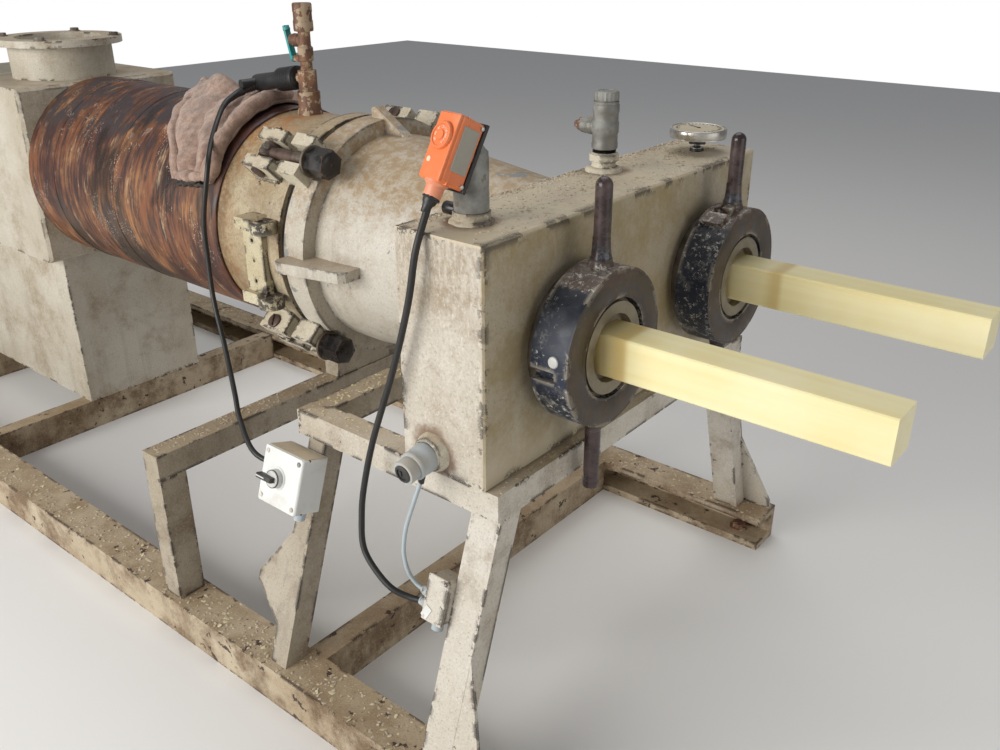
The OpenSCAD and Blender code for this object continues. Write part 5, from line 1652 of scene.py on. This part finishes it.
# %% Scatter group
def make_scatter():
    inputs = [("Ground", "Geometry", None), ("Density", "Float", 2000.0), ("Size", "Float", 0.003),
              ("Flat", "Float", 0.4), ("Seed", "Int", 1), ("Finish", "Material", None)]
    g, src, out, ports = new_group("scatter", "GeometryNodeTree", inputs, ("Crumbs", "Geometry"))
    pts = g.nodes.new("GeometryNodeDistributePointsOnFaces")
    wire(g, src.outputs["Ground"], pts.inputs["Mesh"])
    wire(g, src.outputs["Seed"], pts.inputs["Seed"])
    n = g.nodes.new("ShaderNodeTexNoise")
    n.inputs["Scale"].default_value = 11.0
    n.inputs["Detail"].default_value = 3.0
    low = ramp(g, n.outputs["Fac"], 0.38, 0.66)
    wire(g, times(g, low, src.outputs["Density"]), pts.inputs["Density"])
    rock = g.nodes.new("GeometryNodeMeshIcoSphere")
    rock.inputs["Subdivisions"].default_value = 1
    wire(g, src.outputs["Size"], rock.inputs["Radius"])
    squash = g.nodes.new("GeometryNodeTransform")
    size = g.nodes.new("ShaderNodeCombineXYZ")
    size.inputs["X"].default_value = 1.5
    size.inputs["Y"].default_value = 0.9
    wire(g, src.outputs["Flat"], size.inputs["Z"])
    wire(g, rock.outputs["Mesh"], squash.inputs["Geometry"])
    wire(g, size.outputs["Vector"], squash.inputs["Scale"])
    inst, crumbs = placed(g, pts.outputs["Points"], squash.outputs["Geometry"], src.outputs["Finish"])
    spin = g.nodes.new("FunctionNodeRandomValue")
    spin.data_type = "FLOAT_VECTOR"
    spin.inputs[0].default_value = (-0.4, -0.4, 0.0)
    spin.inputs[1].default_value = (0.4, 0.4, 6.28)
    wire(g, spin.outputs[0], inst.inputs["Rotation"])
    grow = g.nodes.new("FunctionNodeRandomValue")
    grow.data_type = "FLOAT"
    grow.inputs[2].default_value = 0.35
    grow.inputs[3].default_value = 1.3
    wire(g, grow.outputs[1], inst.inputs["Scale"])
    wire(g, crumbs, out.inputs["Crumbs"])
    return g, ports


scatter, scatter_ports = make_scatter()
print("group", scatter.name, list(scatter_ports))

# %% [markdown]
# Each patch is a plain rectangle that faces up. The crumbs are baked into one mesh a place.

# %% Crumbs and flakes
def strew(name, patches, mat, density, size, flat, seed):
    # Each patch is (x0, x1, y0, y1, z).
    me = bpy.data.meshes.new(name)
    verts, faces = [], []
    for x0, x1, y0, y1, z in patches:
        k = len(verts)
        verts += [(x0, y0, z), (x1, y0, z), (x1, y1, z), (x0, y1, z)]
        faces.append((k, k + 1, k + 2, k + 3))
    me.from_pydata(verts, [], faces)
    o = bpy.data.objects.new(name, me)
    bpy.context.collection.objects.link(o)
    mod = o.modifiers.new("scatter", "NODES")
    mod.node_group = scatter
    for key, v in (("Density", density), ("Size", size), ("Flat", flat), ("Seed", seed), ("Finish", mat)):
        mod[scatter_ports[key]] = v
    done = baked(o)
    o.modifiers.clear()
    o.data = done
    done.name = name
    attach(o, "root")
    print(name, len(done.polygons), "faces")
    return o


box_patch = [(0.207, 0.377, -0.426, -0.380, 0.9790), (0.207, 0.250, -0.380, 0.040, 0.9790),
             (0.315, 0.377, -0.380, 0.300, 0.9790), (0.250, 0.315, -0.300, 0.050, 0.9790),
             (0.207, 0.315, 0.120, 0.426, 0.9790)]
back_patch = [(0.206, 0.232, -0.420, 0.420, 0.9790)]
ring_patch = [(-0.075, 0.203, -0.420, -0.378, 0.5770), (-0.075, -0.032, -0.378, -0.110, 0.5770),
              (-0.075, -0.032, 0.110, 0.378, 0.5770), (0.382, 0.400, -0.42, 0.42, 0.5770),
              (-0.075, 0.203, 0.378, 0.420, 0.5770)]
rail_patch = [(-2.1, 0.46, -0.578, -0.496, 0.0880), (-2.1, 0.46, 0.496, 0.578, 0.0880),
              (-0.022, 0.022, -0.49, 0.49, 0.0880)]
beam_patch = [(-0.403, -0.359, -0.560, -0.09, 0.4350), (-0.403, -0.359, 0.09, 0.560, 0.4350)]
strew("box_crumbs", box_patch, crumb_mat, 20000, 0.0023, 0.45, 3)
strew("box_back_crumbs", back_patch, crumb_mat, 110000, 0.0028, 0.50, 7)
strew("frame_crumbs", ring_patch, flake_mat, 14000, 0.0024, 0.40, 5)
strew("rail_flakes", rail_patch, flake_mat, 1500, 0.0048, 0.16, 11)
strew("rail_dirt", rail_patch, crumb_mat, 12000, 0.0032, 0.35, 13)
strew("beam_dirt", beam_patch, crumb_mat, 22000, 0.0024, 0.35, 17)

# %% [markdown]
# Bolt circles are repeats too: one node group puts a hexagon head on every point of a circle.

# %% Bolt circle group
def make_bolt_circle():
    inputs = [("Count", "Int", 8), ("Circle", "Float", 0.1), ("Head", "Float", 0.012),
              ("Height", "Float", 0.009), ("Start", "Float", 0.0), ("Finish", "Material", None)]
    g, src, out, ports = new_group("bolt_circle", "GeometryNodeTree", inputs, ("Bolts", "Geometry"))
    ring = g.nodes.new("GeometryNodeMeshCircle")
    wire(g, src.outputs["Count"], ring.inputs["Vertices"])
    wire(g, src.outputs["Circle"], ring.inputs["Radius"])
    head = g.nodes.new("GeometryNodeMeshCylinder")
    head.inputs["Vertices"].default_value = 6
    wire(g, src.outputs["Head"], head.inputs["Radius"])
    wire(g, src.outputs["Height"], head.inputs["Depth"])
    shim = g.nodes.new("GeometryNodeMeshCylinder")
    shim.inputs["Vertices"].default_value = 24
    wire(g, times(g, src.outputs["Head"], 1.35), shim.inputs["Radius"])
    wire(g, times(g, src.outputs["Height"], 0.3), shim.inputs["Depth"])
    both = g.nodes.new("GeometryNodeJoinGeometry")
    wire(g, head.outputs["Mesh"], both.inputs[0])
    low = g.nodes.new("GeometryNodeTransform")
    drop = g.nodes.new("ShaderNodeCombineXYZ")
    wire(g, times(g, src.outputs["Height"], -0.45), drop.inputs["Z"])
    wire(g, shim.outputs["Mesh"], low.inputs["Geometry"])
    wire(g, drop.outputs["Vector"], low.inputs["Translation"])
    wire(g, low.outputs["Geometry"], both.inputs[0])
    turned = g.nodes.new("GeometryNodeTransform")
    spin = g.nodes.new("ShaderNodeCombineXYZ")
    wire(g, src.outputs["Start"], spin.inputs["Z"])
    wire(g, ring.outputs["Mesh"], turned.inputs["Geometry"])
    wire(g, spin.outputs["Vector"], turned.inputs["Rotation"])
    _, bolts = placed(g, turned.outputs["Geometry"], both.outputs["Geometry"], src.outputs["Finish"])
    wire(g, bolts, out.inputs["Bolts"])
    return g, ports


bolt_circle, bolt_ports = make_bolt_circle()
print("group", bolt_circle.name, list(bolt_ports))

# %% [markdown]
# The circles sit on the feed flange, the gearbox and the motor. Single anchor bolts with
# washers hold the base rails down.

# %% Bolt circles and floor anchors
def bolt_ring(name, m, count, circle, head, height, start=0.0):
    o = bpy.data.objects.new(name, bpy.data.meshes.new(name))
    bpy.context.collection.objects.link(o)
    mod = o.modifiers.new("bolts", "NODES")
    mod.node_group = bolt_circle
    for key, v in (("Count", count), ("Circle", circle), ("Head", head), ("Height", height),
                   ("Start", math.radians(start)), ("Finish", bolt_mat)):
        mod[bolt_ports[key]] = v
    done = baked(o)
    o.modifiers.clear()
    done.transform(m @ T(0, 0, height / 2))
    done.name = name
    o.data = done
    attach(o, "root")
    return o


bolt_ring("feed_flange_bolts", T(-1.545, 0, 1.118), 4, 0.152, 0.012, 0.009, 45)
bolt_ring("gear_cover_bolts", T(-2.076, 0, 0.878) @ turn(-90, "Y"), 6, 0.062, 0.007, 0.006)
bolt_ring("motor_flange_bolts", T(-2.060, 0, 0.878) @ turn(-90, "Y"), 4, 0.108, 0.010, 0.009, 45)
bolt_ring("gear_side_bolts_near", T(-1.895, -0.200, 0.773) @ turn(90, "X"), 8, 0.135, 0.011, 0.009, 22.5)
bolt_ring("gear_side_bolts_far", T(-1.895, 0.200, 0.773) @ turn(-90, "X"), 8, 0.135, 0.011, 0.009, 22.5)
FLANGE_TOP = 0.018  # the lower flange of a base rail, where the anchors bear
for i, (x, y) in enumerate(((0.403, -0.537), (0.403, 0.537), (-2.060, -0.537), (-2.060, 0.537)), 1):
    def anchor(bm, at=T(x, y, FLANGE_TOP)):
        lathe(bm, [(0, -0.001), (0.0222, -0.001), (0.0222, 0.0030), (0, 0.0030)], at, 24)
        hexagon(bm, 0.0286, 0.0115, at @ T(0, 0, 0.0025))

    piece(f"anchor_{i}", rusty_steel, anchor)
print("bolt circles and floor anchors placed")

# %% [markdown]
# The last cell brings the scene up to date.

# %% Finish
bpy.context.view_layer.update()
